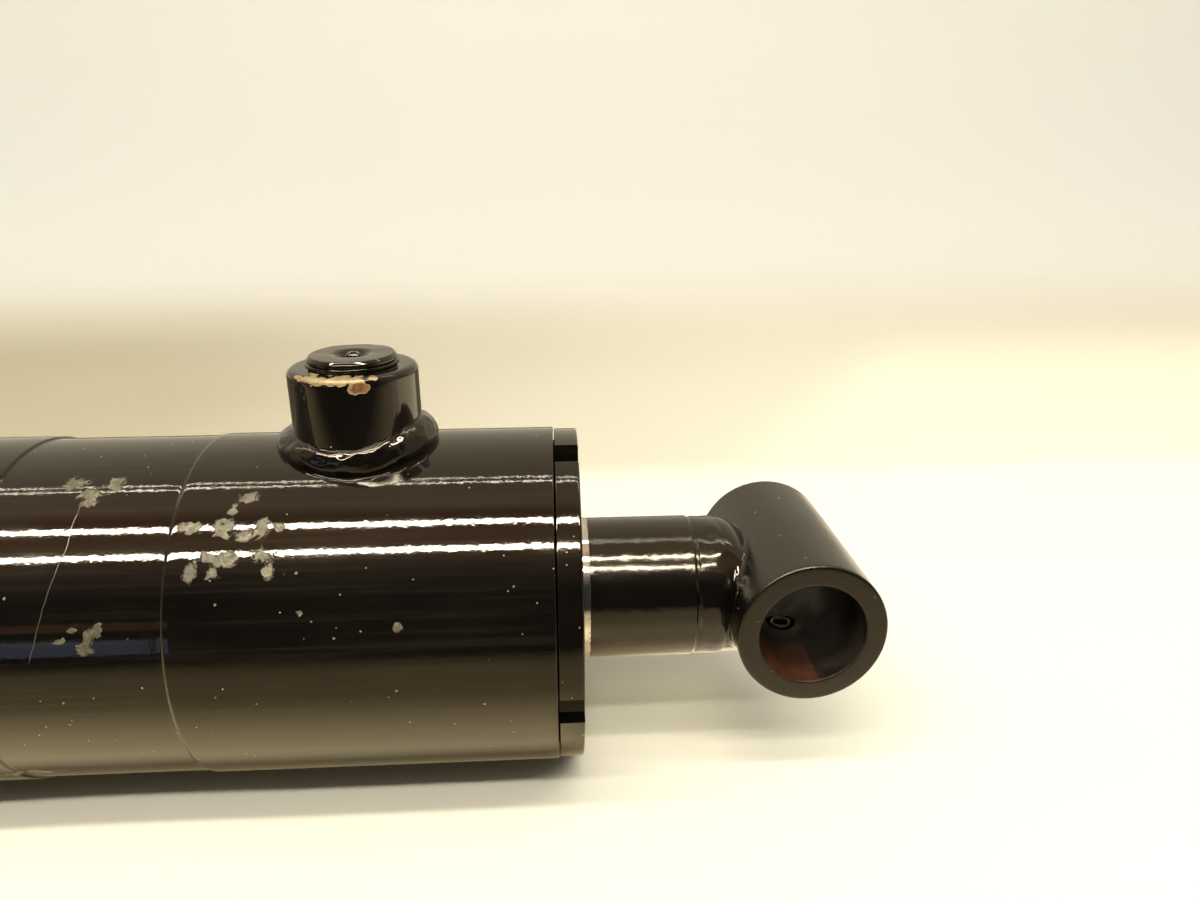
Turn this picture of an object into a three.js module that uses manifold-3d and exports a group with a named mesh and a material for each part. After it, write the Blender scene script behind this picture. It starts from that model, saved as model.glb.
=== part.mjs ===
// A welded, double-acting hydraulic cylinder with a cross tube at each end: 3 in bore, 1 1/2 in rod and
// 8 in stroke, shown fully retracted and lying on its barrel. Millimetres, +Z up.
//
// The frame stands under the middle of the cylinder: +X runs from the base eye to the rod eye, both pin
// bores run along Y, and both ports point up. Every coaxial piece is made in the group "line", whose own
// +Y is the cylinder's axis, +Z is up and +X is the side that faces -Y in the frame.

import * as THREE from "three";
import { mergeVertices } from "three/addons/utils/BufferGeometryUtils.js";
import Module from "manifold-3d";

const wasm = await Module();
wasm.setup();

// ---------------------------------------------------------------- driving dimensions

const INCH = 25.4;
const GAP = 0.3; // clearance between two pieces that touch on the real cylinder

const BORE_R = 1.5 * INCH;
const BARREL_R = 1.75 * INCH;
const ROD_R = 0.75 * INCH;
const STROKE = 8 * INCH;

const EYE_R = 0.75 * INCH; // cross tube outside radius
const EYE_BORE_R = (17 / 32) * INCH; // 1 1/16 in hole for a 1 in pin
const EYE_LENGTH = 2.25 * INCH;
const EYE_EXPOSED = 63.9; // barrel's head end to the rod eye's pin axis, retracted

const CAP_FLANGE = 12; // base cap's thickness outside the tube
const CAP_SPIGOT = 18; // and inside it
const EYE_SADDLE = 2; // how deep the base eye sits in the cap
const NUT_HEIGHT = 20;
const NUT_FLATS = 1.5 * INCH;
const PISTON_LENGTH = 32;
const PISTON_SEAT_R = 0.5 * INCH; // rod's turned-down end, inside the piston and the nut
const END_CLEARANCE = 1; // nut to base cap when retracted

const RIM_LENGTH = 0.25 * INCH; // gland rim that stands out of the barrel
const RIM_R = BARREL_R - 0.45;
const NOSE_R = 31; // gland's reduced nose, which leaves the head port open

const PORT_FROM_HEAD = 49.3; // barrel's head end to the head port's axis
const PORT_HOLE_R = 0.25 * INCH;
const BOSS_R = 0.625 * INCH;
const BOSS_TOP = 64.1; // above the cylinder's axis
const PLUG_R = 11;
const SPOTFACE_R = 11.25; // recess in the boss's top for the plug's washer
const SPOTFACE_DEPTH = 0.6;
const WASHER_THICKNESS = 1.3;

const COARSE = 36; // facets around coaxial pieces
const FINE = 48; // facets around the barrel, cap and gland
const SMALL = 28; // facets around bosses, plugs, eyes and fittings

// ---------------------------------------------------------------- stations along the axis

const TOTAL_LENGTH = 18 * INCH;
const ROD_EYE_AT = TOTAL_LENGTH / 2 - EYE_R;
const BASE_EYE_AT = -ROD_EYE_AT;
const HEAD_AT = ROD_EYE_AT - EYE_EXPOSED; // barrel's head end face
const CAP_AT = BASE_EYE_AT + EYE_R - EYE_SADDLE; // cap's outer face
const FLANGE_END = CAP_AT + CAP_FLANGE;
const TUBE_AT = FLANGE_END + 3; // tube's base end, across the weld's root gap
const CAP_FACE = FLANGE_END + CAP_SPIGOT; // cap's inner face
const NUT_AT = CAP_FACE + END_CLEARANCE;
const PISTON_AT = NUT_AT + NUT_HEIGHT + GAP;
const SHOULDER_AT = PISTON_AT + PISTON_LENGTH + GAP; // rod's full diameter starts here
const NOSE_AT = SHOULDER_AT + STROKE + 0.4; // gland's inner end, the stop at full stroke
const HEAD_PORT_AT = HEAD_AT - PORT_FROM_HEAD;
const BASE_PORT_AT = (CAP_FACE + PISTON_AT) / 2;
const AXIS_HEIGHT = BARREL_R * Math.cos(Math.PI / FINE); // the barrel's lowest facet lies on z = 0

// ---------------------------------------------------------------- materials

const paint = () => new THREE.MeshStandardMaterial({ color: 0x0b0a09, roughness: 0.16, metalness: 0.0 });
const chrome = () => new THREE.MeshStandardMaterial({ color: 0xc9c8c4, roughness: 0.12, metalness: 1.0 });
const steel = () => new THREE.MeshStandardMaterial({ color: 0x8f8d88, roughness: 0.38, metalness: 1.0 });
const iron = () => new THREE.MeshStandardMaterial({ color: 0x5d5b58, roughness: 0.55, metalness: 0.9 });
const zinc = () => new THREE.MeshStandardMaterial({ color: 0xb7a97c, roughness: 0.32, metalness: 1.0 });
const rubber = () => new THREE.MeshStandardMaterial({ color: 0x171614, roughness: 0.7, metalness: 0.0 });
const urethane = () => new THREE.MeshStandardMaterial({ color: 0x2b4a78, roughness: 0.5, metalness: 0.0 });
const nylon = () => new THREE.MeshStandardMaterial({ color: 0x1c3a2c, roughness: 0.6, metalness: 0.0 });

// ---------------------------------------------------------------- solids

// A geometry as a manifold-3d solid: vertices merged, and triangles that collapse on an axis dropped.
function toSolid(geometry) {
  const bare = geometry.clone();
  bare.deleteAttribute("normal");
  bare.deleteAttribute("uv");
  const merged = mergeVertices(bare, 1e-4);
  const index = merged.index.array;
  const kept = [];
  for (let i = 0; i < index.length; i += 3) {
    const corners = [index[i], index[i + 1], index[i + 2]];
    if (new Set(corners).size === 3) kept.push(...corners);
  }
  return new wasm.Manifold(
    new wasm.Mesh({
      numProp: 3,
      vertProperties: merged.attributes.position.array,
      triVerts: new Uint32Array(kept),
    }),
  );
}

function toGeometry(solid) {
  const mesh = solid.getMesh();
  const geometry = new THREE.BufferGeometry();
  geometry.setAttribute("position", new THREE.BufferAttribute(mesh.vertProperties, 3));
  geometry.setIndex(new THREE.BufferAttribute(mesh.triVerts, 1));
  geometry.computeVertexNormals();
  return geometry;
}

// Turns an outline of [radius, height] points around Y. The outline ends on the axis or closes on itself,
// and its direction doesn't matter. Half a facet of turn puts a flat, not an edge, at the bottom.
function turned(outline, facets) {
  let area = 0;
  outline.forEach(([r, h], i) => {
    const [r2, h2] = outline[(i + 1) % outline.length];
    area += r * h2 - r2 * h;
  });
  const ordered = area > 0 ? outline : [...outline].reverse();
  const onAxis = ordered.every(([r]) => r > 0) ? [] : null;
  const start = onAxis ? 0 : ordered.findIndex(([r], i) => r === 0 && ordered.at(i - 1)[0] === 0);
  const rolled = [...ordered.slice(start), ...ordered.slice(0, start)];
  const points = rolled.map(([r, h]) => new THREE.Vector2(r, h));
  if (onAxis) points.push(points[0].clone());
  return new THREE.LatheGeometry(points, facets, Math.PI / facets);
}

// A round bar or hole along Y from one height to another.
const bar = (r, from, to, facets) =>
  turned([[0, from], [r, from], [r, to], [0, to]], facets);

// A plain ring with a rectangular section.
const ring = (inner, outer, from, to, facets) =>
  turned([[inner, from], [outer, from], [outer, to], [inner, to]], facets);

// A ring with a round section: an O-ring.
function oRing(middle, section, at, facets) {
  const sides = 8;
  const outline = [];
  for (let i = 0; i < sides; i++) {
    const angle = (2 * Math.PI * (i + 0.5)) / sides;
    outline.push([middle + section * Math.cos(angle), at + section * Math.sin(angle)]);
  }
  return turned(outline, facets);
}

const alongX = (geometry) => geometry.rotateZ(-Math.PI / 2); // from Y to the pin bores' direction
const alongZ = (geometry) => geometry.rotateX(Math.PI / 2); // from Y to straight up

// A thin radial saw cut through one side of a split ring.
function splitRing(geometry, width, reach, from, to) {
  const cut = new THREE.BoxGeometry(width, to - from + 2, reach);
  cut.translate(0, (from + to) / 2, -reach / 2 - 1);
  return toGeometry(toSolid(geometry).subtract(toSolid(cut)));
}

function piece(name, geometry, material) {
  const mesh = new THREE.Mesh(geometry, material);
  mesh.name = name;
  return mesh;
}

// ---------------------------------------------------------------- barrel

// Honed tube. Its head end is counterbored for the gland's thread, and a shallow band behind the head
// port's end is the track that the steady rest ran on. The base end is bevelled for the cap's weld.
function barrelTube() {
  const threadR = 1.625 * INCH;
  const threadDepth = 24;
  const bandDepth = 0.5;
  const bandFrom = HEAD_AT - 130.1;
  const bandTo = HEAD_AT - 86.5;
  const bevel = 4;
  const rootR = BORE_R + 1.2;
  const tube = turned(
    [
      [BORE_R, TUBE_AT],
      [rootR, TUBE_AT],
      [BARREL_R, TUBE_AT + bevel],
      [BARREL_R, bandFrom],
      [BARREL_R - bandDepth, bandFrom + 0.3],
      [BARREL_R - bandDepth, bandTo - 0.3],
      [BARREL_R, bandTo],
      [BARREL_R, HEAD_AT],
      [threadR, HEAD_AT],
      [threadR, HEAD_AT - threadDepth],
      [BORE_R, HEAD_AT - threadDepth - 2],
    ],
    FINE,
  );
  let solid = toSolid(tube);
  for (const at of [BASE_PORT_AT, HEAD_PORT_AT]) {
    const hole = alongZ(bar(PORT_HOLE_R, 0, 2 * BARREL_R, SMALL)).translate(0, at, 0);
    solid = solid.subtract(toSolid(hole));
  }
  return toGeometry(solid);
}

// End cap: a flange outside the tube, a spigot inside it, and a shallow saddle for the cross tube.
function baseCap() {
  const flangeR = BARREL_R - 0.25;
  const bevel = 4;
  const cap = turned(
    [
      [0, CAP_AT],
      [flangeR - 1.5, CAP_AT],
      [flangeR, CAP_AT + 1.5],
      [flangeR, FLANGE_END - bevel],
      [BORE_R + 1.2, FLANGE_END],
      [BORE_R - GAP, FLANGE_END],
      [BORE_R - GAP, CAP_FACE - 1.5],
      [BORE_R - GAP - 1.5, CAP_FACE],
      [0, CAP_FACE],
    ],
    FINE,
  );
  const saddle = alongX(bar(EYE_R + GAP, -BARREL_R - 1, BARREL_R + 1, SMALL)).translate(0, BASE_EYE_AT, 0);
  return toGeometry(toSolid(cap).subtract(toSolid(saddle)));
}

// The weld that fills the groove between the cap's flange and the tube, nearly flush with the tube.
function baseCapWeld() {
  const rootR = BORE_R + 1.2 + GAP;
  const crownR = BARREL_R - 0.15;
  const middle = (FLANGE_END + TUBE_AT) / 2;
  const rootHalf = (TUBE_AT - FLANGE_END) / 2 - 0.2;
  const toeHalf = rootHalf + 3.1;
  return turned(
    [
      [rootR, middle - rootHalf],
      [crownR - 0.6, middle - toeHalf],
      [crownR, middle - toeHalf / 2],
      [crownR, middle + toeHalf / 2],
      [crownR - 0.6, middle + toeHalf],
      [rootR, middle + rootHalf],
    ],
    FINE,
  );
}

// ---------------------------------------------------------------- cross tubes and grease fittings

const GREASE_HOLE_R = 3.4;

// The outside of a cross tube, grown by some clearance, for cutting its neighbours.
const eyeEnvelope = (at, grow) => {
  const half = EYE_LENGTH / 2 + grow;
  return alongX(bar(EYE_R + grow, -half, half, SMALL)).translate(0, at, 0);
};

// Cross tube with a pin bore along its length and a grease hole through its underside.
function crossTube() {
  const half = EYE_LENGTH / 2;
  const edge = 0.8;
  const tube = alongX(
    turned(
      [
        [EYE_BORE_R + edge / 2, -half],
        [EYE_R - edge, -half],
        [EYE_R, -half + edge],
        [EYE_R, half - edge],
        [EYE_R - edge, half],
        [EYE_BORE_R + edge / 2, half],
        [EYE_BORE_R, half - edge / 2],
        [EYE_BORE_R, -half + edge / 2],
      ],
      SMALL,
    ),
  );
  const hole = alongZ(bar(GREASE_HOLE_R, -EYE_R - 1, -EYE_BORE_R / 2, SMALL / 2));
  return toGeometry(toSolid(tube).subtract(toSolid(hole)));
}

// Grease fitting, nipple down: a drilled shank in the tube's wall, a hexagon and a coupling head.
function greaseFitting() {
  const seat = -EYE_R - GAP; // hexagon's upper face, under the cross tube
  const shankR = GREASE_HOLE_R - GAP;
  const shankTop = -EYE_BORE_R - 1.2;
  const hexHeight = 3.5;
  const hexR = 7.94 / 2 / Math.cos(Math.PI / 6);
  const drillR = 1;
  const tip = seat - 9;
  const body = toSolid(
    alongZ(
      turned(
        [
          [0, shankTop],
          [shankR, shankTop],
          [shankR, seat - 0.2],
          [2.6, seat - 0.2],
          [2.6, seat - hexHeight - 0.8],
          [2.2, seat - hexHeight - 2.2],
          [3.2, tip + 2],
          [3.2, tip + 1.2],
          [2, tip],
          [0, tip],
        ],
        SMALL / 2,
      ),
    ),
  );
  const hexagon = new THREE.CylinderGeometry(hexR, hexR, hexHeight, 6).rotateX(Math.PI / 2);
  hexagon.translate(0, 0, seat - hexHeight / 2);
  const drill = alongZ(bar(drillR, tip - 1, shankTop + 1, 8));
  return toGeometry(body.add(toSolid(hexagon)).subtract(toSolid(drill)));
}

// One of the two long fillets between the base eye and the cap. side is 1 above the eye, -1 below it.
function baseEyeWeld(side) {
  const half = EYE_LENGTH / 2 - 2.5;
  const rounding = 2;
  const toe = 24.5; // on the cap, from the eye's axis
  const face = CAP_AT - GAP - rounding;
  const section = new THREE.Shape(); // up, along the axis
  section.moveTo(6, face);
  section.lineTo(toe - rounding, face);
  section.lineTo(toe - rounding - 0.8, face - 1.6);
  section.lineTo(EYE_R + 0.8 - rounding / 2, BASE_EYE_AT + 9.6);
  section.lineTo(EYE_R - 2.6, BASE_EYE_AT + 7.6);
  section.lineTo(6, BASE_EYE_AT + 7.6);
  const bead = new THREE.ExtrudeGeometry(section, {
    depth: 2 * (half - rounding),
    bevelThickness: rounding,
    bevelSize: rounding,
    bevelSegments: 2,
  });
  bead.rotateY(-Math.PI / 2);
  bead.translate(half - rounding, 0, 0);
  const solid = toSolid(bead).subtract(toSolid(eyeEnvelope(BASE_EYE_AT, GAP)));
  return toGeometry(side > 0 ? solid : solid.mirror([0, 0, 1]));
}

// Weld between the rod's bevelled end and the rod eye. It is wider across, along the cross tube, than it
// is high, and above and below the rod it fills the space in front of the tube.
function rodEyeWeld() {
  const wide = 1.12;
  const start = ROD_END_AT - ROD_BEVEL + 0.2;
  const bead = turned(
    [
      [0, start],
      [ROD_R - 0.3, start],
      [ROD_R + 0.5, start + 1.8],
      [ROD_R + 0.1, start + 5],
      [ROD_R - 2.4, start + 11.5],
      [ROD_R - 5, start + 14],
      [0, start + 14],
    ],
    COARSE,
  );
  bead.scale(wide, 1, 1);
  const rodSpace = turned(
    [
      [0, start - 5],
      [ROD_END_R + GAP, start - 5],
      [ROD_END_R + GAP, ROD_END_AT - ROD_BEVEL],
      [ROD_END_R - ROD_BEVEL + GAP, ROD_END_AT + GAP],
      [0, ROD_END_AT + GAP],
    ],
    COARSE,
  );
  return toGeometry(
    toSolid(bead).subtract(toSolid(rodSpace)).subtract(toSolid(eyeEnvelope(ROD_EYE_AT, GAP))),
  );
}

// ---------------------------------------------------------------- ports

const barrelEnvelope = () => bar(BARREL_R + GAP, -TOTAL_LENGTH / 2, TOTAL_LENGTH / 2, FINE);
const BOSS_HOLE_R = 9.5;
const WASHER_AT = BOSS_TOP - SPOTFACE_DEPTH + GAP;

// Port boss: a thick washer-like stub whose foot is cut to sit on the barrel.
function portBoss(at) {
  const edge = 1.2;
  const foot = 36;
  const boss = alongZ(
    turned(
      [
        [PORT_HOLE_R, -foot],
        [BOSS_R, -foot],
        [BOSS_R, -BOSS_TOP + edge],
        [BOSS_R - edge, -BOSS_TOP],
        [SPOTFACE_R, -BOSS_TOP],
        [SPOTFACE_R, -BOSS_TOP + SPOTFACE_DEPTH],
        [BOSS_HOLE_R, -BOSS_TOP + SPOTFACE_DEPTH],
        [BOSS_HOLE_R, -BOSS_TOP + 15],
        [PORT_HOLE_R, -BOSS_TOP + 17],
      ],
      SMALL,
    ),
  );
  boss.rotateX(Math.PI).translate(0, at, 0);
  return toGeometry(toSolid(boss).subtract(toSolid(barrelEnvelope())));
}

// The heavy fillet weld around a boss, trimmed to the barrel and a little narrower across the barrel.
function portWeld(at) {
  const toe = 20.6;
  const narrow = 0.94;
  const rounding = [];
  const steps = 4;
  for (let i = 0; i <= steps; i++) {
    const angle = (Math.PI / 2) * (i / steps);
    rounding.push([BOSS_R + (toe - BOSS_R) * Math.sin(angle), BARREL_R - 1 + 7 * Math.cos(angle)]);
  }
  const bead = turned([[0, 36], [0, BARREL_R + 6], ...rounding, [toe - 1.4, 36]], FINE);
  bead.rotateX(Math.PI / 2);
  const shaped = toSolid(bead.scale(narrow, 1, 1).translate(0, at, 0));
  const bossSpace = alongZ(bar(BOSS_R + GAP, 0, BOSS_TOP + 5, SMALL)).translate(0, at, 0);
  return toGeometry(shaped.subtract(toSolid(bossSpace)).subtract(toSolid(barrelEnvelope())));
}

// Round plug: a threaded shank in the boss and a thin head with a dished centre.
function portPlug() {
  const under = WASHER_AT + WASHER_THICKNESS + GAP; // head's underside, on the sealing washer
  const top = BOSS_TOP + 2.85;
  const shankEnd = BOSS_TOP - 12;
  return alongZ(
    turned(
      [
        [0, top - 4],
        [1.9, top - 4],
        [1.9, top - 1.6],
        [4.4, top],
        [PLUG_R - 0.35, top],
        [PLUG_R, top - 0.35],
        [PLUG_R, under],
        [BOSS_HOLE_R - GAP, under],
        [BOSS_HOLE_R - GAP, shankEnd + 1],
        [BOSS_HOLE_R - GAP - 1, shankEnd],
        [0, shankEnd],
      ],
      SMALL,
    ),
  );
}

const plugWasher = () =>
  alongZ(ring(BOSS_HOLE_R, PLUG_R - 0.15, WASHER_AT, WASHER_AT + WASHER_THICKNESS, SMALL));

// ---------------------------------------------------------------- gland and its seals

const gland = (fromHead) => HEAD_AT + fromHead; // heights on the gland count from the barrel's end face
const ROD_BORE_R = ROD_R + 0.35;

// Screwed head gland: a slotted rim outside the barrel, the thread, a sealed pilot and a nose.
function headGland() {
  const face = gland(RIM_LENGTH);
  const threadR = 1.625 * INCH - GAP;
  const pilotR = BORE_R - GAP;
  const body = turned(
    [
      [NOSE_R, NOSE_AT],
      [NOSE_R, gland(-36)],
      [pilotR, gland(-35)],
      [pilotR, gland(-33.2)],
      [GLAND_GROOVE_R, gland(-33.2)],
      [GLAND_GROOVE_R, gland(-26.9)],
      [pilotR, gland(-26.9)],
      [pilotR, gland(-24.5)],
      [pilotR - 0.8, gland(-24)],
      [pilotR - 0.8, gland(-21)],
      [threadR, gland(-19)],
      [threadR, gland(GAP)],
      [RIM_R, gland(GAP)],
      [RIM_R, face - 0.8],
      [RIM_R - 0.8, face],
      [WIPER_R, face],
      [WIPER_R, gland(0.8)],
      [ROD_BORE_R, gland(0.8)],
      [ROD_BORE_R, gland(-3)],
      [ROD_SEAL_R, gland(-3)],
      [ROD_SEAL_R, gland(-12)],
      [ROD_BORE_R, gland(-12)],
      [ROD_BORE_R, gland(-22)],
      [ROD_BAND_R, gland(-22)],
      [ROD_BAND_R, gland(-34)],
      [ROD_BORE_R, gland(-34)],
      [ROD_BORE_R, NOSE_AT],
    ],
    FINE,
  );
  // Four slots through the rim take the dogs of a gland spanner.
  const slotWidth = 7;
  const slotDepth = 5;
  const clocking = THREE.MathUtils.degToRad(12.5); // from straight up, towards the -Y side
  let solid = toSolid(body);
  for (let i = 0; i < 4; i++) {
    const slot = new THREE.BoxGeometry(slotWidth, RIM_LENGTH + 2, 2 * slotDepth);
    slot.translate(0, gland(GAP) + (RIM_LENGTH + 2) / 2, RIM_R);
    slot.rotateY(clocking + (i * Math.PI) / 2);
    solid = solid.subtract(toSolid(slot));
  }
  return toGeometry(solid);
}

const GLAND_GROOVE_R = 34.3;
const WIPER_R = 24.6;
const ROD_SEAL_R = 25.4;
const ROD_BAND_R = 21.6;
const SEAL_BORE_R = ROD_R + 0.28;

const glandORing = () => oRing(36.2, 1.55, gland(-31.3), COARSE);
const glandBackupRing = () =>
  ring(GLAND_GROOVE_R + GAP, BORE_R - GAP, gland(-28.9), gland(-27.3), COARSE);

function rodWearRing() {
  const [from, to] = [gland(-33.7), gland(-22.3)];
  return splitRing(ring(SEAL_BORE_R, ROD_BAND_R - GAP, from, to, COARSE), 1.5, 30, from, to);
}

// U-cup, its mouth towards the oil.
const rodSeal = () =>
  turned(
    [
      [SEAL_BORE_R, gland(-3.3)],
      [SEAL_BORE_R, gland(-11.7)],
      [SEAL_BORE_R + 1.3, gland(-11.7)],
      [(SEAL_BORE_R + ROD_SEAL_R) / 2, gland(-7.6)],
      [ROD_SEAL_R - GAP - 1.3, gland(-11.7)],
      [ROD_SEAL_R - GAP, gland(-11.7)],
      [ROD_SEAL_R - GAP, gland(-3.3)],
    ],
    COARSE,
  );

// Snap-in wiper, its lip just inside the gland's face.
const rodWiper = () =>
  turned(
    [
      [SEAL_BORE_R + 0.9, gland(1.1)],
      [WIPER_R - GAP, gland(1.1)],
      [WIPER_R - GAP, gland(4.4)],
      [SEAL_BORE_R + 2.4, gland(4.4)],
      [SEAL_BORE_R + 0.8, gland(6.1)],
      [SEAL_BORE_R, gland(6.1)],
      [SEAL_BORE_R, gland(4.9)],
      [SEAL_BORE_R + 0.9, gland(3.4)],
    ],
    COARSE,
  );

// ---------------------------------------------------------------- rod, piston and nut

const ROD_END_R = ROD_R - 0.2; // the last stretch has no plating
const ROD_END_AT = ROD_EYE_AT - EYE_R - GAP;
const ROD_BEVEL = 3;

// Rod: piston seat with its thread, the plated shaft, and the bare end that is welded to the eye.
function pistonRod() {
  const platingEnd = HEAD_AT + 36.3;
  return turned(
    [
      [0, NUT_AT],
      [PISTON_SEAT_R - 1.2, NUT_AT],
      [PISTON_SEAT_R, NUT_AT + 1.2],
      [PISTON_SEAT_R, SHOULDER_AT],
      [ROD_R - 1, SHOULDER_AT],
      [ROD_R, SHOULDER_AT + 1],
      [ROD_R, platingEnd],
      [ROD_END_R, platingEnd + 0.2],
      [ROD_END_R, ROD_END_AT - ROD_BEVEL],
      [ROD_END_R - ROD_BEVEL, ROD_END_AT],
      [0, ROD_END_AT],
    ],
    COARSE,
  );
}

// Heights on the piston count from its base-side face.
const onPiston = (height) => PISTON_AT + height;
const PISTON_R = BORE_R - GAP;
const BAND_GROOVE_R = 35.6;
const SEAL_GROOVE_R = 30.5;
const PISTON_BORE_R = PISTON_SEAT_R + GAP;
const BANDS = [[3, 9.5], [22.5, 29]];
const SEAL_GROOVE = [11.5, 20.5];
const INNER_GROOVE = [24, 27];
const INNER_GROOVE_R = 15.4;

// Piston: a middle seal groove, a guide band groove on each side, and an O-ring groove in its bore.
function pistonBody() {
  const groove = (r, [from, to]) => [
    [PISTON_R, onPiston(from)],
    [r, onPiston(from)],
    [r, onPiston(to)],
    [PISTON_R, onPiston(to)],
  ];
  return turned(
    [
      [PISTON_BORE_R, onPiston(0)],
      [PISTON_R - 1, onPiston(0)],
      [PISTON_R, onPiston(1)],
      ...groove(BAND_GROOVE_R, BANDS[0]),
      ...groove(SEAL_GROOVE_R, SEAL_GROOVE),
      ...groove(BAND_GROOVE_R, BANDS[1]),
      [PISTON_R, onPiston(PISTON_LENGTH - 1)],
      [PISTON_R - 1, onPiston(PISTON_LENGTH)],
      [PISTON_BORE_R, onPiston(PISTON_LENGTH)],
      [PISTON_BORE_R, onPiston(INNER_GROOVE[1])],
      [INNER_GROOVE_R, onPiston(INNER_GROOVE[1])],
      [INNER_GROOVE_R, onPiston(INNER_GROOVE[0])],
      [PISTON_BORE_R, onPiston(INNER_GROOVE[0])],
    ],
    COARSE,
  );
}

function pistonBand([from, to]) {
  const band = ring(BAND_GROOVE_R + GAP, PISTON_R, onPiston(from + GAP), onPiston(to - GAP), COARSE);
  return splitRing(band, 1.5, 45, onPiston(from), onPiston(to));
}

const pistonSeal = () =>
  ring(35.3, PISTON_R, onPiston(SEAL_GROOVE[0] + GAP), onPiston(SEAL_GROOVE[1] - GAP), COARSE);
const sealEnergizer = () =>
  oRing(32.9, 2, onPiston((SEAL_GROOVE[0] + SEAL_GROOVE[1]) / 2), COARSE);
const pistonORing = () =>
  oRing(14.1, 1, onPiston((INNER_GROOVE[0] + INNER_GROOVE[1]) / 2), COARSE);

// Hexagon lock nut with chamfered corners.
function pistonNut() {
  const cornerR = NUT_FLATS / 2 / Math.cos(Math.PI / 6);
  const hexagon = new THREE.CylinderGeometry(cornerR, cornerR, NUT_HEIGHT, 6);
  hexagon.translate(0, NUT_AT + NUT_HEIGHT / 2, 0);
  const chamfer = turned(
    [
      [0, NUT_AT],
      [NUT_FLATS / 2, NUT_AT],
      [cornerR + 0.5, NUT_AT + 2],
      [cornerR + 0.5, NUT_AT + NUT_HEIGHT - 2],
      [NUT_FLATS / 2, NUT_AT + NUT_HEIGHT],
      [0, NUT_AT + NUT_HEIGHT],
    ],
    COARSE,
  );
  const bore = bar(PISTON_SEAT_R + GAP, NUT_AT - 1, NUT_AT + NUT_HEIGHT + 1, COARSE);
  return toGeometry(toSolid(hexagon).intersect(toSolid(chamfer)).subtract(toSolid(bore)));
}

// ---------------------------------------------------------------- assembly

const line = new THREE.Group();
line.rotation.z = -Math.PI / 2;
line.position.z = AXIS_HEIGHT;

const barrel = new THREE.Group();
barrel.add(
  piece("barrel_tube", barrelTube(), paint()),
  piece("base_cap", baseCap(), paint()),
  piece("base_cap_weld", baseCapWeld(), paint()),
  piece("base_eye_weld_top", baseEyeWeld(1), paint()),
  piece("base_eye_weld_bottom", baseEyeWeld(-1), paint()),
  piece("head_gland", headGland(), paint()),
  piece("gland_o_ring", glandORing(), rubber()),
  piece("gland_backup_ring", glandBackupRing(), nylon()),
  piece("rod_wear_ring", rodWearRing(), nylon()),
  piece("rod_seal", rodSeal(), urethane()),
  piece("rod_wiper", rodWiper(), urethane()),
);

for (const [side, at] of [["base", BASE_PORT_AT], ["head", HEAD_PORT_AT]]) {
  const plug = piece(side + "_port_plug", portPlug(), paint());
  const washer = piece(side + "_port_washer", plugWasher(), zinc());
  plug.position.y = at;
  washer.position.y = at;
  barrel.add(
    piece(side + "_port_boss", portBoss(at), paint()),
    piece(side + "_port_weld", portWeld(at), paint()),
    plug,
    washer,
  );
}

const packing = new THREE.Group(); // rings that slide with the piston
packing.add(
  piece("piston_seal", pistonSeal(), nylon()),
  piece("piston_seal_energizer", sealEnergizer(), rubber()),
  piece("piston_wear_ring_base_side", pistonBand(BANDS[0]), nylon()),
  piece("piston_wear_ring_head_side", pistonBand(BANDS[1]), nylon()),
);

const rod = new THREE.Group();
rod.add(
  piece("piston_rod", pistonRod(), chrome()),
  piece("piston", pistonBody(), iron()),
  piece("piston_o_ring", pistonORing(), rubber()),
  piece("piston_nut", pistonNut(), steel()),
  piece("rod_eye_weld", rodEyeWeld(), paint()),
);

for (const [side, group, at] of [["base", barrel, BASE_EYE_AT], ["rod", rod, ROD_EYE_AT]]) {
  const eye = piece(side + "_eye", crossTube(), paint());
  const fitting = piece(side + "_eye_grease_fitting", greaseFitting(), zinc());
  eye.position.y = at;
  fitting.position.y = at;
  group.add(eye, fitting);
}

line.add(barrel, packing, rod);

const hydraulicCylinder = new THREE.Group();
hydraulicCylinder.add(line);

export default hydraulicCylinder;
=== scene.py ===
"""A gloss-black welded hydraulic cylinder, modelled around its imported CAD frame.

Lengths are millimetres, but metres in node trees and in the staging. "Stations" are distances along the
cylinder's axis from the barrel's head end, positive towards the rod eye. "Clock" angles go round that
axis, from the front (-Y) at 0 degrees to the top at 90.
"""

import random
from math import atan2, ceil, cos, degrees, hypot, pi, radians, sin, sqrt

import bpy
import numpy as np
from mathutils import Matrix, Vector, noise


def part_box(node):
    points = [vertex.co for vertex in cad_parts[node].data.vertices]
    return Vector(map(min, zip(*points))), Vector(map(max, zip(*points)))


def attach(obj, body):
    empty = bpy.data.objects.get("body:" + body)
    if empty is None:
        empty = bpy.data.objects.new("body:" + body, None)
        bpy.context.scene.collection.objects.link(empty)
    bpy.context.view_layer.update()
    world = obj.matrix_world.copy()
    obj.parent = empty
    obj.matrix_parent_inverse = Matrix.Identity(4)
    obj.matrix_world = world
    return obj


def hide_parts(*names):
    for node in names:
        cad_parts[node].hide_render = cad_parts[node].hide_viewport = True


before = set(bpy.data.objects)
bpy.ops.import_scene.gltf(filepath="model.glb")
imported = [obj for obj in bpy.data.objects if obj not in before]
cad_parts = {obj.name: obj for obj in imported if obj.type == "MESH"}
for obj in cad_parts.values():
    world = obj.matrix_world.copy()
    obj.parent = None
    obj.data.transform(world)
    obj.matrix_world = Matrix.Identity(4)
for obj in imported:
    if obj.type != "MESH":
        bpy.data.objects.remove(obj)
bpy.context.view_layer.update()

MM = 0.001
GAP = 0.3  # clearance left between pieces


# ---- places, from the frame


def node_box(name):
    """Lowest and highest corner of a CAD node in millimetres."""
    lo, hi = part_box(name)
    return np.array(lo) / MM, np.array(hi) / MM


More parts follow.
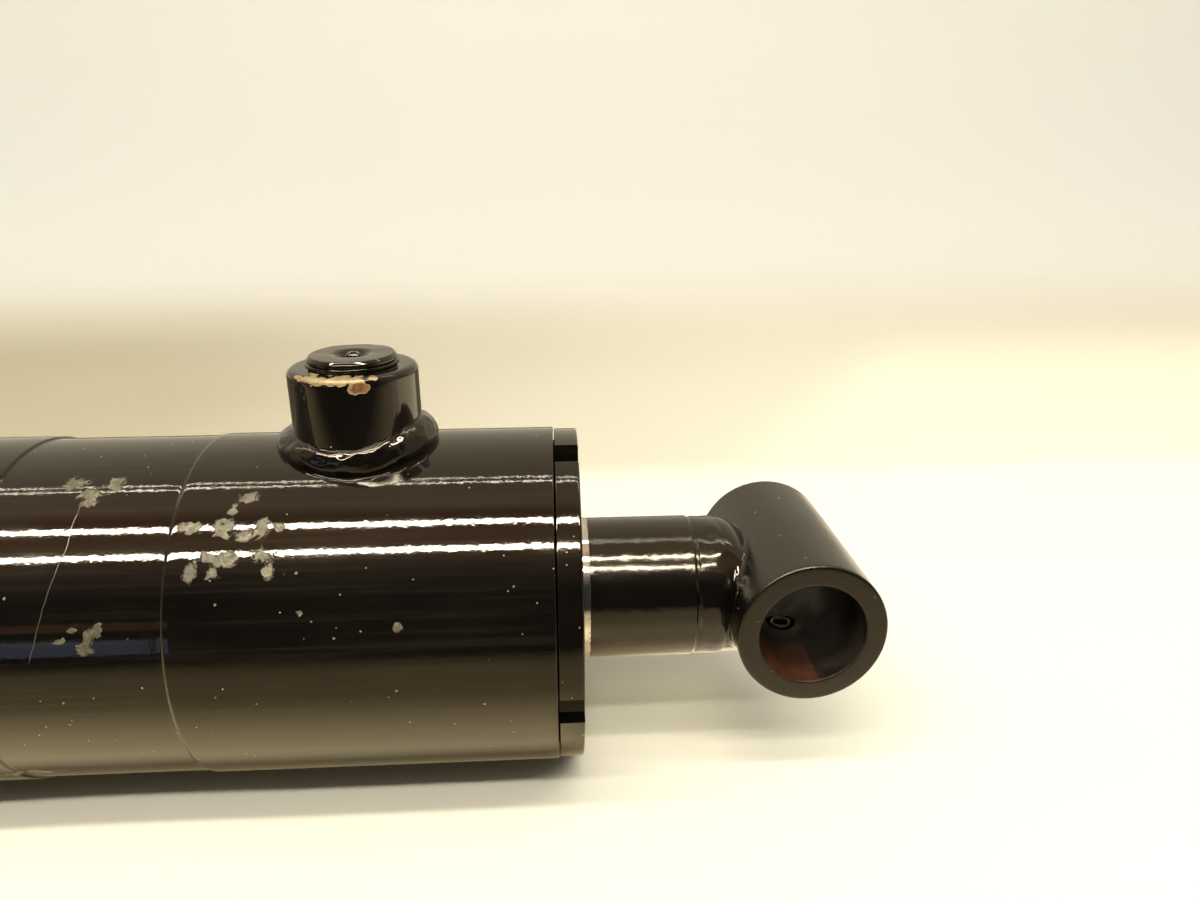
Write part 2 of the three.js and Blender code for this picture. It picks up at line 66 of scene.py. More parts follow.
def node_centre(name):
    lo, hi = node_box(name)
    return (lo + hi) / 2


HEAD = node_box("barrel_tube")[1][0]
BASE = node_box("barrel_tube")[0][0] - HEAD
AXIS_Z = node_centre("rod_eye")[2]
ROD_EYE = node_centre("rod_eye")[0] - HEAD
BASE_EYE = node_centre("base_eye")[0] - HEAD
HEAD_PORT = node_centre("head_port_boss")[0] - HEAD
BASE_PORT = node_centre("base_port_boss")[0] - HEAD
CAP_INNER = node_box("base_cap")[1][0] - HEAD
NUT_END = node_box("piston_nut")[0][0] - HEAD
ROD_SHOULDER = node_box("piston")[1][0] - HEAD + GAP
NOSE_END = node_box("head_gland")[0][0] - HEAD

BARREL_R = 44.45
BORE_R = 38.1
ROD_R = 19.05
EYE_R = 19.05
EYE_BORE_R = 13.49
EYE_HALF = 28.575
BOSS_R = 15.875
BOSS_FOOT = 40.4  # heights above the axis
BOSS_TOP = 64.1
PLUG_R = 11.0

SADDLE_DEPTH = 2.0  # of the base eye in the cap
CAP_OUTER = BASE_EYE + EYE_R - SADDLE_DEPTH
FLANGE_END = BASE - 3.0  # the girth weld fills the groove from here to BASE
TRACK = (-130.1, -86.5)  # the steady rest's track on the barrel
TRACK_DEPTH = 0.5
ROD_PAINT_FROM = 8.8  # chrome shows between the gland and here


# ---- meshes

SHARP = 38  # degrees between faces from which an edge is drawn sharp
SHARP_WELD = 50  # the same on lumpy or finely curved pieces


def make_object(name, vertices, faces, sharp_angle=SHARP):
    """An object from vertices in millimetres, smooth shaded but for its sharp edges."""
    mesh = bpy.data.meshes.new(name)
    mesh.from_pydata((np.asarray(vertices, dtype=float) * MM).tolist(), [], faces)
    mesh.polygons.foreach_set("use_smooth", [True] * len(mesh.polygons))
    mesh.set_sharp_from_angle(angle=radians(sharp_angle))
    mesh.update()
    obj = bpy.data.objects.new(name, mesh)
    bpy.context.scene.collection.objects.link(obj)
    return obj


def rounded(corners, steps=4):
    """A closed outline of [along, radius, fillet] corners as [along, radius] points."""
    points = []
    count = len(corners)
    for i, (along, radius, fillet) in enumerate(corners):
        here = np.array([along, radius], dtype=float)
        if fillet <= 0:
            points.append(here)
            continue
        ends = []
        for other in (corners[i - 1], corners[(i + 1) % count]):
            towards = np.array(other[:2], dtype=float) - here
            length = np.linalg.norm(towards)
            ends.append(here + towards / length * min(fillet, 0.49 * length))
        for step in range(steps + 1):
            t = step / steps
            points.append((1 - t) ** 2 * ends[0] + 2 * t * (1 - t) * here + t * t * ends[1])
    return [tuple(p) for p in points]


COARSE = 12  # the longest stretch of an outline where no detail needs a shorter one


def subdivided(outline, longest, between=(-1e9, 1e9)):
    """The outline with its long stretches split, but for those that touch the axis.

    None stays longer than longest, or than COARSE where it lies outside those two values of along.
    """
    points = []
    for i, point in enumerate(outline):
        after = outline[(i + 1) % len(outline)]
        points.append(point)
        if min(point[1], after[1]) <= 0:
            continue
        inside = min(point[0], after[0]) >= between[0] - 1e-6 and max(point[0], after[0]) <= between[1] + 1e-6
        length = hypot(after[0] - point[0], after[1] - point[1])
        pieces = ceil(length / (longest if inside else COARSE))
        for k in range(1, pieces):
            t = k / pieces
            points.append((point[0] + (after[0] - point[0]) * t, point[1] + (after[1] - point[1]) * t))
    return points


AXES = {
    "x": ((1, 0, 0), (0, -1, 0), (0, 0, 1)),
    "y": ((0, 1, 0), (1, 0, 0), (0, 0, 1)),
    "z": ((0, 0, 1), (0, -1, 0), (1, 0, 0)),
    "-z": ((0, 0, -1), (0, -1, 0), (1, 0, 0)),
}


def on_axis(station):
    return (HEAD + station, 0.0, AXIS_Z)


def lathe(name, outline, axis, station, segments=160, sharp_angle=SHARP):
    """A closed outline of [along, radius] points turned round an axis that passes through a station.

    An outline may touch the axis at neighbouring points of radius 0; it is opened there.
    """
    ahead, side, other = (np.array(v) for v in AXES[axis])
    poles = [i for i, (_, radius) in enumerate(outline) if radius <= 1e-9]
    if poles:
        start = next(i for i in poles if outline[i - 1][1] <= 1e-9)
        outline = outline[start:] + outline[:start]
    vertices, rings = [], []
    turn = [2 * pi * k / segments for k in range(segments)]
    for along, radius in outline:
        centre = np.array(on_axis(station)) + ahead * along
        if radius <= 1e-9:
            rings.append([len(vertices)])
            vertices.append(centre)
            continue
        rings.append(list(range(len(vertices), len(vertices) + segments)))
        vertices.extend(centre + radius * (side * cos(t) + other * sin(t)) for t in turn)
    pairs = list(zip(rings, rings[1:])) + ([] if poles else [(rings[-1], rings[0])])
    faces = []
    for a, b in pairs:
        for k in range(segments):
            n = (k + 1) % segments
            if len(a) == 1 and len(b) > 1:
                faces.append((a[0], b[n], b[k]))
            elif len(b) == 1 and len(a) > 1:
                faces.append((a[k], a[n], b[0]))
            elif len(a) > 1:
                faces.append((a[k], a[n], b[n], b[k]))
    return face_outwards(make_object(name, vertices, faces, sharp_angle))


def bead(name, around, section_at):
    """A closed ring of closed sections, which section_at gives for so many turning angles."""
    sections = [section_at(2 * pi * i / around) for i in range(around)]
    count = len(sections[0])
    vertices = [p for section in sections for p in section]
    faces = []
    for i in range(around):
        for j in range(count):
            a, b = i * count, (i + 1) % around * count
            n = (j + 1) % count
            faces.append((a + j, a + n, b + n, b + j))
    return face_outwards(make_object(name, vertices, faces, SHARP_WELD))


def loft(name, sections):
    """Closed sections in a row with a cap on the first and the last."""
    around = len(sections[0])
    vertices = [p for section in sections for p in section]
    faces = [tuple(range(around)), tuple(reversed(range(len(vertices) - around, len(vertices))))]
    for i in range(len(sections) - 1):
        for j in range(around):
            n = (j + 1) % around
            a, b = i * around, (i + 1) * around
            faces.append((a + j, b + j, b + n, a + n))
    return face_outwards(make_object(name, vertices, faces, SHARP_WELD))


def face_outwards(obj):
    """Turns a closed mesh's faces outwards if they all face in."""
    mesh = obj.data
    mesh.calc_loop_triangles()
    co = np.empty(len(mesh.vertices) * 3)
    mesh.vertices.foreach_get("co", co)
    co = co.reshape(-1, 3)
    tri = np.empty(len(mesh.loop_triangles) * 3, dtype=int)
    mesh.loop_triangles.foreach_get("vertices", tri)
    a, b, c = (co[tri.reshape(-1, 3)[:, k]] for k in range(3))
    if np.einsum("ij,ij->i", a, np.cross(b, c)).sum() < 0:
        mesh.flip_normals()
    return obj


def cut(obj, *cutters):
    """Takes the cutters' solids out of obj, for good."""
    for cutter in cutters:
        change = obj.modifiers.new("cut", "BOOLEAN")
        change.operation = "DIFFERENCE"
        change.solver = "EXACT"
        change.object = cutter
    applied(obj)
    for cutter in cutters:
        bpy.data.objects.remove(cutter)
    return obj


def applied(obj):
    """Makes obj's modifiers permanent."""
    graph = bpy.context.evaluated_depsgraph_get()
    graph.update()
    old = obj.data
    obj.data = bpy.data.meshes.new_from_object(obj.evaluated_get(graph))
    obj.modifiers.clear()
    bpy.data.meshes.remove(old)
    obj.data.polygons.foreach_set("use_smooth", [True] * len(obj.data.polygons))
    obj.data.set_sharp_from_angle(angle=radians(SHARP))
    return obj


def bevelled(obj, width):
    bevel = obj.modifiers.new("edges", "BEVEL")
    bevel.width = width * MM
    bevel.segments = 2
    bevel.limit_method = "ANGLE"
    bevel.angle_limit = radians(SHARP)
    return applied(obj)


def box_cutter(size, matrix):
    """A box of that size in millimetres, centred, then moved by a matrix in millimetres."""
    sx, sy, sz = (v / 2 for v in size)
    corners = [Vector((x * sx, y * sy, z * sz)) for x in (-1, 1) for y in (-1, 1) for z in (-1, 1)]
    faces = [(0, 1, 3, 2), (4, 6, 7, 5), (0, 4, 5, 1), (2, 3, 7, 6), (0, 2, 6, 4), (1, 5, 7, 3)]
    return make_object("cutter", [tuple(matrix @ c) for c in corners], faces)


def wobble(position, scale, seed):
    """Smooth noise of a position in millimetres, mostly within 0.6 of 0; scale is its wavelength."""
    p = Vector(position) / scale + Vector((seed * 17.3, seed * 5.1, seed * 9.7))
    return noise.noise(p)


def roughen(obj, layers, seed, mask=None):
    """Moves vertices along their normals by layers of (wavelength, height), in millimetres."""
    mesh = obj.data
    normals = [v.normal.copy() for v in mesh.vertices]
    for vertex, normal in zip(mesh.vertices, normals):
        position = vertex.co / MM
        weight = 1.0 if mask is None else mask(position)
        if weight <= 0:
            continue
        lift = sum(height * wobble(position, scale, seed + k) for k, (scale, height) in enumerate(layers))
        vertex.co += normal * (lift * weight * MM)
    mesh.update()
    return obj


def place(obj, body, material, slot, *nodes):
    """Finishes a piece: its material, the body it rides on and the CAD nodes it stands for."""
    obj.data.materials.clear()
    obj.data.materials.append(material)
    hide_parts(*nodes)
    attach(obj, body)
    return obj


# ---- materials


class Graph:
    """A short way to write a node tree."""

    def __init__(self, name, world=False):
        self.owner = bpy.data.worlds.new(name) if world else bpy.data.materials.new(name)
        self.owner.use_nodes = True
        self.tree = self.owner.node_tree
        self.tree.nodes.clear()

    def add(self, kind, inputs=None, **settings):
        node = self.tree.nodes.new(kind)
        for key, value in settings.items():
            setattr(node, key, value)
        for key, value in (inputs or {}).items():
            self.put(node.inputs[key], value)
        return node

    def put(self, socket, value):
        if isinstance(value, bpy.types.NodeSocket):
            self.tree.links.new(value, socket)
        else:
            socket.default_value = value

    def math(self, operation, *values):
        return self.add("ShaderNodeMath", dict(enumerate(values)), operation=operation).outputs[0]

    def plus(self, a, b):
        return self.math("ADD", a, b)

    def minus(self, a, b):
        return self.math("SUBTRACT", a, b)

    def times(self, a, b):
        return self.math("MULTIPLY", a, b)

    def most(self, a, b):
        return self.math("MAXIMUM", a, b)

    def xyz(self, vector):
        """The three parts of a vector."""
        return tuple(self.add("ShaderNodeSeparateXYZ", {"Vector": vector}).outputs)

    def mix(self, factor, a, b):
        """Mixes two colours."""
        node = self.add("ShaderNodeMix", data_type="RGBA")
        for index, value in ((0, factor), (6, a), (7, b)):
            self.put(node.inputs[index], value)
        return node.outputs[2]

    def ramp(self, value, low, high, to_low=0.0, to_high=1.0):
        """Value mapped smoothly from low..high to to_low..to_high, clamped."""
        inputs = {"Value": value, 1: low, 2: high, 3: to_low, 4: to_high}
        return self.add("ShaderNodeMapRange", inputs, interpolation_type="SMOOTHSTEP").outputs[0]

    def noise(self, vector, scale, detail=2.0, roughness=0.5, distortion=0.0):
        inputs = {
            "Vector": vector,
            "Scale": scale,
            "Detail": detail,
            "Roughness": roughness,
            "Distortion": distortion,
        }
        return self.add("ShaderNodeTexNoise", inputs).outputs["Fac"]

    def stretched(self, vector, scale):
        return self.add("ShaderNodeMapping", {"Vector": vector, "Scale": scale}).outputs[0]

    def position(self):
        return self.add("ShaderNodeTexCoord").outputs["Object"]

    def attribute(self, name):
        return self.add("ShaderNodeAttribute", attribute_name=name).outputs["Fac"]

    def bump(self, height, distance):
        inputs = {"Height": height, "Distance": distance, "Strength": 1.0}
        return self.add("ShaderNodeBump", inputs).outputs[0]

    def principled(self, **inputs):
        keys = {key.replace("_", " "): value for key, value in inputs.items()}
        shader = self.add("ShaderNodeBsdfPrincipled", keys)
        self.add("ShaderNodeOutputMaterial", {"Surface": shader.outputs[0]})
        return self.owner


FINE_GRAIN = 0.004  # height in millimetres of tool marks and mould texture
PAINT_BLACK = (0.0030, 0.0025, 0.0021, 1)
PAINT_DULL = (0.0052, 0.0043, 0.0033, 1)
AMBER = (1.0, 0.90, 0.72, 1)  # tint of the enamel's reflections
DUST = (0.22, 0.19, 0.12, 1)
LINT = (0.52, 0.46, 0.32, 1)
FILM = (0.020, 0.0175, 0.012, 1)
SCUFF_LIGHT = (0.27, 0.24, 0.165, 1)
SCUFF_DARK = (0.085, 0.075, 0.052, 1)
BARE_STEEL = (0.36, 0.28, 0.15, 1)
RUST = (0.17, 0.065, 0.024, 1)
RUST_LIGHT = (0.36, 0.17, 0.065, 1)
PRIMER = (0.050, 0.016, 0.009, 1)


def specks(g, where, cell, radius, share):
    """A mask of small irregular specks, one in each of that share of the cells."""
    inputs = {"Vector": where, "Scale": 1 / (cell * MM), "Randomness": 1.0}
    cells = g.add("ShaderNodeTexVoronoi", inputs)
    ragged = g.times(g.noise(where, 1 / (radius * 0.9 * MM), 2.0), 0.9 * radius / cell)
    distance = g.plus(cells.outputs["Distance"], ragged)
    spot = g.ramp(distance, 1.2 * radius / cell, 0.9 * radius / cell)
    pick = g.add("ShaderNodeSeparateColor", {"Color": cells.outputs["Color"]}).outputs[0]
    return g.times(spot, g.math("GREATER_THAN", pick, 1 - share))


SCRATCH_STATION = -108.8  # of its upright part
SCRATCH_BEND = 31.3  # the height above the axis below which it slants
SCRATCH_SLANT = -0.28
SCRATCH_ENDS = (8, 38.5)  # heights above the axis


def hairline(g, where):
    """A thin bent scratch down the front of the barrel, on the steady rest's track."""
    x, y, z = g.xyz(where)
    height = g.minus(z, AXIS_Z * MM)
    below_bend = g.most(g.minus(SCRATCH_BEND * MM, height), 0.0)
    line = g.math("MULTIPLY_ADD", below_bend, SCRATCH_SLANT, (HEAD + SCRATCH_STATION) * MM)
    waver = g.times(g.minus(g.noise(where, 150, 2.0), 0.5), 1.2 * MM)
    aside = g.math("ABSOLUTE", g.plus(g.minus(x, line), waver))
    thin = g.ramp(aside, 0.13 * MM, 0.06 * MM)
    bottom, top = SCRATCH_ENDS
    low = g.ramp(height, bottom * MM, (bottom + 2) * MM)
    high = g.ramp(height, top * MM, (top - 1) * MM)
    front = g.ramp(y, -20 * MM, -22 * MM)
    return g.times(g.times(thin, low), g.times(high, front))


def dull_where(g, layers, mask, rough):
    """Makes the layers at least that rough where the mask is 1."""
    layers["rough"] = g.most(layers["rough"], g.times(mask, rough))


def coat(g, layers, mask, colour, rough=0.0):
    """Lays a colour over the layers where the mask is 1, and makes them at least that rough there."""
    layers["colour"] = g.mix(mask, layers["colour"], colour)
    if rough:
        dull_where(g, layers, mask, rough)


def add_dust(g, where, layers, amount):
    """Specks of lint and larger ones of dust."""
    small = specks(g, where, 3.6, 0.27, 0.85 * amount)
    large = specks(g, where, 6.6, 0.50, 0.70 * amount)
    coat(g, layers, small, LINT)
    coat(g, layers, large, DUST)
    dull_where(g, layers, g.most(small, large), 0.6)


def add_scuffs(g, where, layers):
    """A streaky film, crusted scuffs on the "scuff" attribute and the hairline scratch."""
    streaks = g.noise(g.stretched(where, (14, 700, 700)), 1.0, 4.0, 0.6)
    film = g.ramp(streaks, 0.46, 0.74, 0.0, 0.42)
    coat(g, layers, film, FILM)
    layers["rough"] = g.math("MULTIPLY_ADD", film, 0.05, layers["rough"])
    grain = g.noise(where, 760, 5.0, 0.66, 0.5)
    tint = g.noise(where, 130, 2.0)
    torn = g.noise(where, 340, 4.0, 0.64, 0.7)
    shape = g.plus(g.attribute("scuff"), g.times(g.minus(torn, 0.5), 1.6))
    solid = g.ramp(shape, 0.50, 0.62)
    blotch = g.math("MULTIPLY_ADD", tint, 0.5, g.minus(grain, 0.25))
    tone = g.mix(g.ramp(blotch, 0.42, 0.70), SCUFF_DARK, SCUFF_LIGHT)
    coat(g, layers, solid, tone, 0.36)
    crust = g.times(solid, g.plus(g.times(grain, 0.34), 0.05))
    layers["height"] = g.plus(layers["height"], crust)
    scratch = hairline(g, where)
    coat(g, layers, scratch, SCUFF_DARK, 0.3)
    layers["height"] = g.minus(layers["height"], g.times(scratch, 0.03))


def add_wear(g, where, layers, amount, bare_metal_and_highlight):
    """Paint torn off to metal, rusty in places, on the "edge" attribute; on the grease fittings the
    near-white bare metal is a painted highlight.
    """
    edge = g.attribute("edge")
    tear = g.noise(where, 330, 4.0, 0.65, 0.8)
    bare = g.ramp(g.times(edge, g.plus(tear, amount - 0.5)), 0.50, 0.56)
    mottle = g.noise(where, 620, 4.0, 0.7)
    ragged = g.math("MULTIPLY_ADD", g.minus(mottle, 0.5), 1.8, edge)
    rusty = g.most(g.ramp(ragged, 1.34, 1.70), g.ramp(g.noise(where, 900, 2.0), 0.45, 0.9))
    rust = g.mix(g.ramp(mottle, 0.40, 0.66), RUST, RUST_LIGHT)
    coat(g, layers, bare, g.mix(rusty, bare_metal_and_highlight, rust), 0.48)
    layers["metal"] = g.times(bare, 0.3)
    layers["height"] = g.minus(layers["height"], g.times(bare, 0.05))


def gloss_paint(
    name, peel=1.0, wave=1.0, worn=0.0, bare_metal_and_highlight=BARE_STEEL, dust=1.0, haze=0.0, scuffed=False, extra=None
):
    """Gloss black enamel with orange peel; extra is given the graph and the layers, which it changes."""
    g = Graph(name)
    where = g.position()
    fine = g.noise(where, 820, 1.5, 0.55)
    middle = g.noise(where, 260, 1.0)
    broad = g.noise(where, 62, 1.0)
    cloud = g.noise(where, 34, 4.0, 0.62)
    lumps = g.plus(g.times(middle, 0.0120 * peel), g.times(broad, 0.024 * wave))
    layers = {
        "colour": g.mix(g.ramp(cloud, 0.4, 0.75), PAINT_BLACK, PAINT_DULL),
        "rough": g.ramp(cloud, 0.3, 0.8, 0.035 + haze, 0.085 + 1.5 * haze),
        "metal": 0.0,
        "height": g.plus(g.times(fine, 0.0135 * peel), lumps),
        "shine": 0.5,
    }
    if dust:
        add_dust(g, where, layers, dust)
    if scuffed:
        add_scuffs(g, where, layers)
    if worn:
        add_wear(g, where, layers, worn, bare_metal_and_highlight)
    if extra:
        extra(g, where, layers)
    return g.principled(
        Base_Color=layers["colour"],
        Roughness=layers["rough"],
        Metallic=layers["metal"],
        IOR=1.6,
        Specular_IOR_Level=layers["shine"],
        Specular_Tint=AMBER,
        Normal=g.bump(layers["height"], MM),
    )


def chrome_rod_material():
    """Ground chrome, painted over from just outside the gland to the eye, with a ragged paint edge."""
    g = Graph("chrome_and_paint")
    where = g.position()
    ragged = g.times(g.minus(g.noise(where, 420, 3.0), 0.5), 0.45 * MM)
    edge = g.plus(g.xyz(where)[0], ragged)
    start = (HEAD + ROD_PAINT_FROM) * MM
    painted = g.ramp(edge, start - 0.05 * MM, start + 0.1 * MM)
    cloud = g.noise(where, 40, 4.0, 0.6)
    grind = g.noise(g.stretched(where, (2600, 90, 90)), 1.0, 3.0, 0.6)
    overspray = g.ramp(edge, start - 1.2 * MM, start, 0.0, 0.8)
    speckle = g.times(overspray, g.ramp(g.noise(where, 1500, 2.0), 0.60, 0.66))
    black = g.mix(g.ramp(cloud, 0.4, 0.75), PAINT_BLACK, PAINT_DULL)
    plated = g.mix(g.ramp(grind, 0.3, 0.7), (0.60, 0.58, 0.54, 1), (0.74, 0.72, 0.67, 1))
    plated = g.mix(speckle, plated, (0.10, 0.085, 0.06, 1))
    small = specks(g, where, 4.0, 0.15, 0.08)
    peel = g.plus(g.times(g.noise(where, 640, 2.0), 0.042), g.times(g.noise(where, 230, 1.0), 0.085))
    bare = g.minus(1.0, painted)
    height = g.plus(g.times(painted, g.plus(peel, 0.06)), g.times(bare, g.times(grind, 0.0012)))
    return g.principled(
        Base_Color=g.mix(painted, plated, g.mix(small, black, DUST)),
        Roughness=g.math("MULTIPLY_ADD", painted, 0.03, g.ramp(cloud, 0.3, 0.8, 0.08, 0.13)),
        Metallic=bare,
        IOR=1.6,
        Specular_Tint=AMBER,
        Normal=g.bump(height, MM),
    )


def machined(name, light, dark, rough, axis_scale, metal=1.0):
    """Turned metal or plastic: fine tool marks along one direction over a mottled tone."""
    g = Graph(name)
    where = g.position()
    marks = g.noise(g.stretched(where, axis_scale), 1.0, 3.0, 0.65)
    mottle = g.noise(where, 160, 4.0, 0.6)
    return g.principled(
        Base_Color=g.mix(g.ramp(mottle, 0.35, 0.7), dark, light),
        Roughness=g.ramp(marks, 0.3, 0.75, rough * 0.8, rough * 1.25),
        Metallic=metal,
        Normal=g.bump(marks, FINE_GRAIN * MM),
    )


def moulded(name, light, dark, rough):
    """Rubber or polyurethane with a fine mould texture."""
    g = Graph(name)
    where = g.position()
    fine = g.noise(where, 2200, 3.0, 0.6)
    mottle = g.noise(where, 190, 4.0, 0.6)
    return g.principled(
        Base_Color=g.mix(g.ramp(mottle, 0.35, 0.7), dark, light),
        Roughness=g.ramp(mottle, 0.3, 0.7, rough * 0.85, rough * 1.15),
        Metallic=0.0,
        Normal=g.bump(fine, FINE_GRAIN * MM),
    )


# ---- camera

CAMERA_STATION = 0.4
CAMERA_DISTANCE = 238.2  # from the cylinder's axis
CAMERA_ELEVATION = 28.5
CAMERA_TURN = (-3.104, 9.11, 1.681)  # yaw, pitch and roll from a look straight at the axis
CAMERA_LENS = 25.43


def make_camera():
    data = bpy.data.cameras.new("camera")
    data.lens = CAMERA_LENS
    data.sensor_width = 36.0
    data.clip_start, data.clip_end = 0.005, 60
    camera = bpy.data.objects.new("camera", data)
    up = radians(CAMERA_ELEVATION)
    yaw, pitch, roll = (radians(v) for v in CAMERA_TURN)
    turn = (
        Matrix.Rotation(-up, 4, "X")
        @ Matrix.Rotation(yaw, 4, "Z")
        @ Matrix.Rotation(pitch, 4, "X")
        @ Matrix.Rotation(roll, 4, "Y")
        @ Matrix.Rotation(pi / 2, 4, "X")
    )
    place_at = (
        (HEAD + CAMERA_STATION) * MM,
        -CAMERA_DISTANCE * cos(up) * MM,
        (AXIS_Z + CAMERA_DISTANCE * sin(up)) * MM,
    )
    camera.matrix_world = Matrix.Translation(place_at) @ turn
    bpy.context.scene.collection.objects.link(camera)
    bpy.context.scene.camera = camera


make_camera()

# ---- barrel, cap and gland

# Clusters of scuffs on the barrel: the station and clock angle of the middle, the spread along the axis in
# millimetres and round it in degrees, the number of flakes and their usual half size.
SCUFF_CLUSTERS = [
    (-72, 45, 12, 15, 13, 2.3),
    (-108, 65, 10, 4, 3, 2.6),
    (-104, 18, 5, 5, 5, 1.4),
    (-128, -38, 5, 1, 2, 2.5),
    (-45, 16, 20, 14, 3, 0.9),
]
LITTER_SPREAD = (15, 13)  # millimetres along and round the barrel
SCUFF_SEED = 1
GOLDEN_ANGLE = pi * (3 - sqrt(5))


def scattered_scuffs():
    """The clusters' flakes: station, clock angle, half length along the axis and half width round it."""
    draw = random.Random(SCUFF_SEED)
    flakes = []
    for station, clock, along, around, count, size in SCUFF_CLUSTERS:
        for k in range(count):
            # A sunflower's spacing, shaken, fills the cluster without piling flakes up.
            reach = sqrt((k + draw.uniform(0.3, 0.9)) / count)
            turn = k * GOLDEN_ANGLE + draw.uniform(-0.5, 0.5)
            middle = (station + along * reach * cos(turn), clock + around * reach * sin(turn))
            flakes.append((*middle, size * draw.uniform(0.5, 1.5), size * draw.uniform(0.5, 1.5)))
    return flakes


SCUFFS = scattered_scuffs()


def clock_of(position):
    """Station, clock angle in degrees and radius of a point in millimetres."""
    y, z = position[1], position[2] - AXIS_Z
    return position[0] - HEAD, degrees(atan2(z, -y)), hypot(y, z)


def near(value, middle, reach):
    """1 at the middle, falling evenly to 0 at that reach from it."""
    return max(0.0, 1 - abs(value - middle) / reach)


def paint_attribute(obj, name, strength):
    """Stores strength(position) on every vertex, position in millimetres."""
    layer = obj.data.attributes.new(name, "FLOAT", "POINT")
    layer.data.foreach_set("value", [strength(v.co / MM) for v in obj.data.vertices])


def scuff_strength(position):
    """Flakes that fade outwards, and faint litter round the first cluster's middle."""
    station, clock, radius = clock_of(position)
    if radius < BARREL_R - 2 or station < -150 or station > -10:
        return 0.0

    def distance(at, angle, half_length, half_width):
        return hypot((station - at) / half_length, radians(clock - angle) * BARREL_R / half_width)

    flakes = max(1.04 - 0.60 * distance(*flake) for flake in SCUFFS)
    litter = 0.22 * (1.3 - distance(*SCUFF_CLUSTERS[0][:2], *LITTER_SPREAD))
    return max(flakes, litter, 0.0)


def barrel_outline():
    thread_r = 41.275
    return [
        (BASE, BORE_R + 1.2, 0.2),
        (BASE + 4, BARREL_R, 0.8),
        (TRACK[0], BARREL_R, 0.5),
        (TRACK[0] + 0.35, BARREL_R - TRACK_DEPTH, 0.3),
        (TRACK[1] - 0.35, BARREL_R - TRACK_DEPTH, 0.3),
        (TRACK[1], BARREL_R, 0.5),
        (0, BARREL_R, 0.35),
        (0, thread_r, 0.3),
        (-24, thread_r, 0.3),
        (-26, BORE_R, 0.5),
        (BASE, BORE_R, 0.3),
    ]


barrel_path = subdivided(rounded(barrel_outline()), 0.9, (-136, 1))
barrel = lathe("barrel", barrel_path, "x", 0, segments=320, sharp_angle=SHARP_WELD)
paint_attribute(barrel, "scuff", scuff_strength)
place(barrel, "barrel", gloss_paint("barrel_paint", scuffed=True), "black_paint", "barrel_tube")

plain_paint = gloss_paint("part_paint")
weld_paint = gloss_paint("weld_paint", peel=1.3, wave=3.0, dust=0.4)


def head_gland():
    rim, face = 44.0, 6.35
    outline = [
        (NOSE_END, 31, 0.8),
        (-36, 31, 1),
        (-35, BORE_R - GAP, 0.3),
        (-24, BORE_R - GAP, 0.3),
        (-22, 40.9, 0.3),
        (GAP, 40.9, 0.2),
        (GAP, rim, 0.35),
        (face, rim, 0.7),
        (face, 25.2, 0.35),
        (face - 0.6, 24.6, 0.2),
        (0.8, 24.6, 0.2),
        (0.8, 19.4, 0.3),
        (NOSE_END, 19.4, 0.5),
    ]
    gland = lathe("gland", rounded(outline), "x", 0, segments=240)
    cutters = []
    for quarter in range(4):
        clock = radians(77.5 + 90 * quarter)
        centre = Vector((0, -cos(clock), sin(clock))) * rim
        matrix = (
            Matrix.Translation(Vector(on_axis(GAP + 4.0)) + centre)
            @ Matrix.Rotation(pi / 2 - clock, 4, "X").inverted()
        )
        cutters.append(box_cutter((8.0, 7.0, 10.0), matrix))
    return cut(gland, *cutters)


gland = head_gland()


def rim_edge(position):
    station, clock, radius = clock_of(position)
    if radius < 42.6 or station < 4.6:
        return 0.0
    return 1.0 if -60 < clock < -5 else 0.7


paint_attribute(gland, "edge", rim_edge)
gland_paint = gloss_paint("gland_paint", worn=0.42, haze=0.01)
place(gland, "barrel", gland_paint, "black_paint", "head_gland")

wiper_outline = [
    (1.1, ROD_R + 1.15, 0.3),
    (1.1, 24.3, 0.3),
    (4.9, 24.3, 0.4),
    (4.9, ROD_R + 2.6, 0.5),
    (6.5, ROD_R + 0.8, 0.3),
    (6.5, ROD_R + 0.12, 0.1),
    (5.0, ROD_R + 0.12, 0.3),
    (3.4, ROD_R + 1.15, 0.5),
]
wiper = lathe("wiper", rounded(wiper_outline), "x", 0)
urethane = moulded("blue_urethane", (0.030, 0.080, 0.20, 1), (0.018, 0.052, 0.15, 1), 0.42)
place(wiper, "barrel", urethane, "urethane", "rod_wiper")

cap_outline = [
    (CAP_OUTER, 0, 0),
    (CAP_OUTER, BARREL_R - 1.4, 1.6),
    (CAP_OUTER + 1.4, BARREL_R - 0.25, 1.6),
    (FLANGE_END - 4, BARREL_R - 0.25, 0.8),
    (FLANGE_END, BORE_R + 1.2, 0.4),
    (FLANGE_END, BORE_R - GAP, 0),
    (CAP_INNER, BORE_R - GAP, 1.5),
    (CAP_INNER, 0, 0),
]
cap = lathe("cap", subdivided(rounded(cap_outline), 3), "x", 0, segments=240)
cap_cutter_outline = [(-60, 0), (-60, EYE_R + 0.05), (60, EYE_R + 0.05), (60, 0)]
cut(cap, lathe("cutter", cap_cutter_outline, "y", BASE_EYE))
place(cap, "barrel", plain_paint, "black_paint", "base_cap")


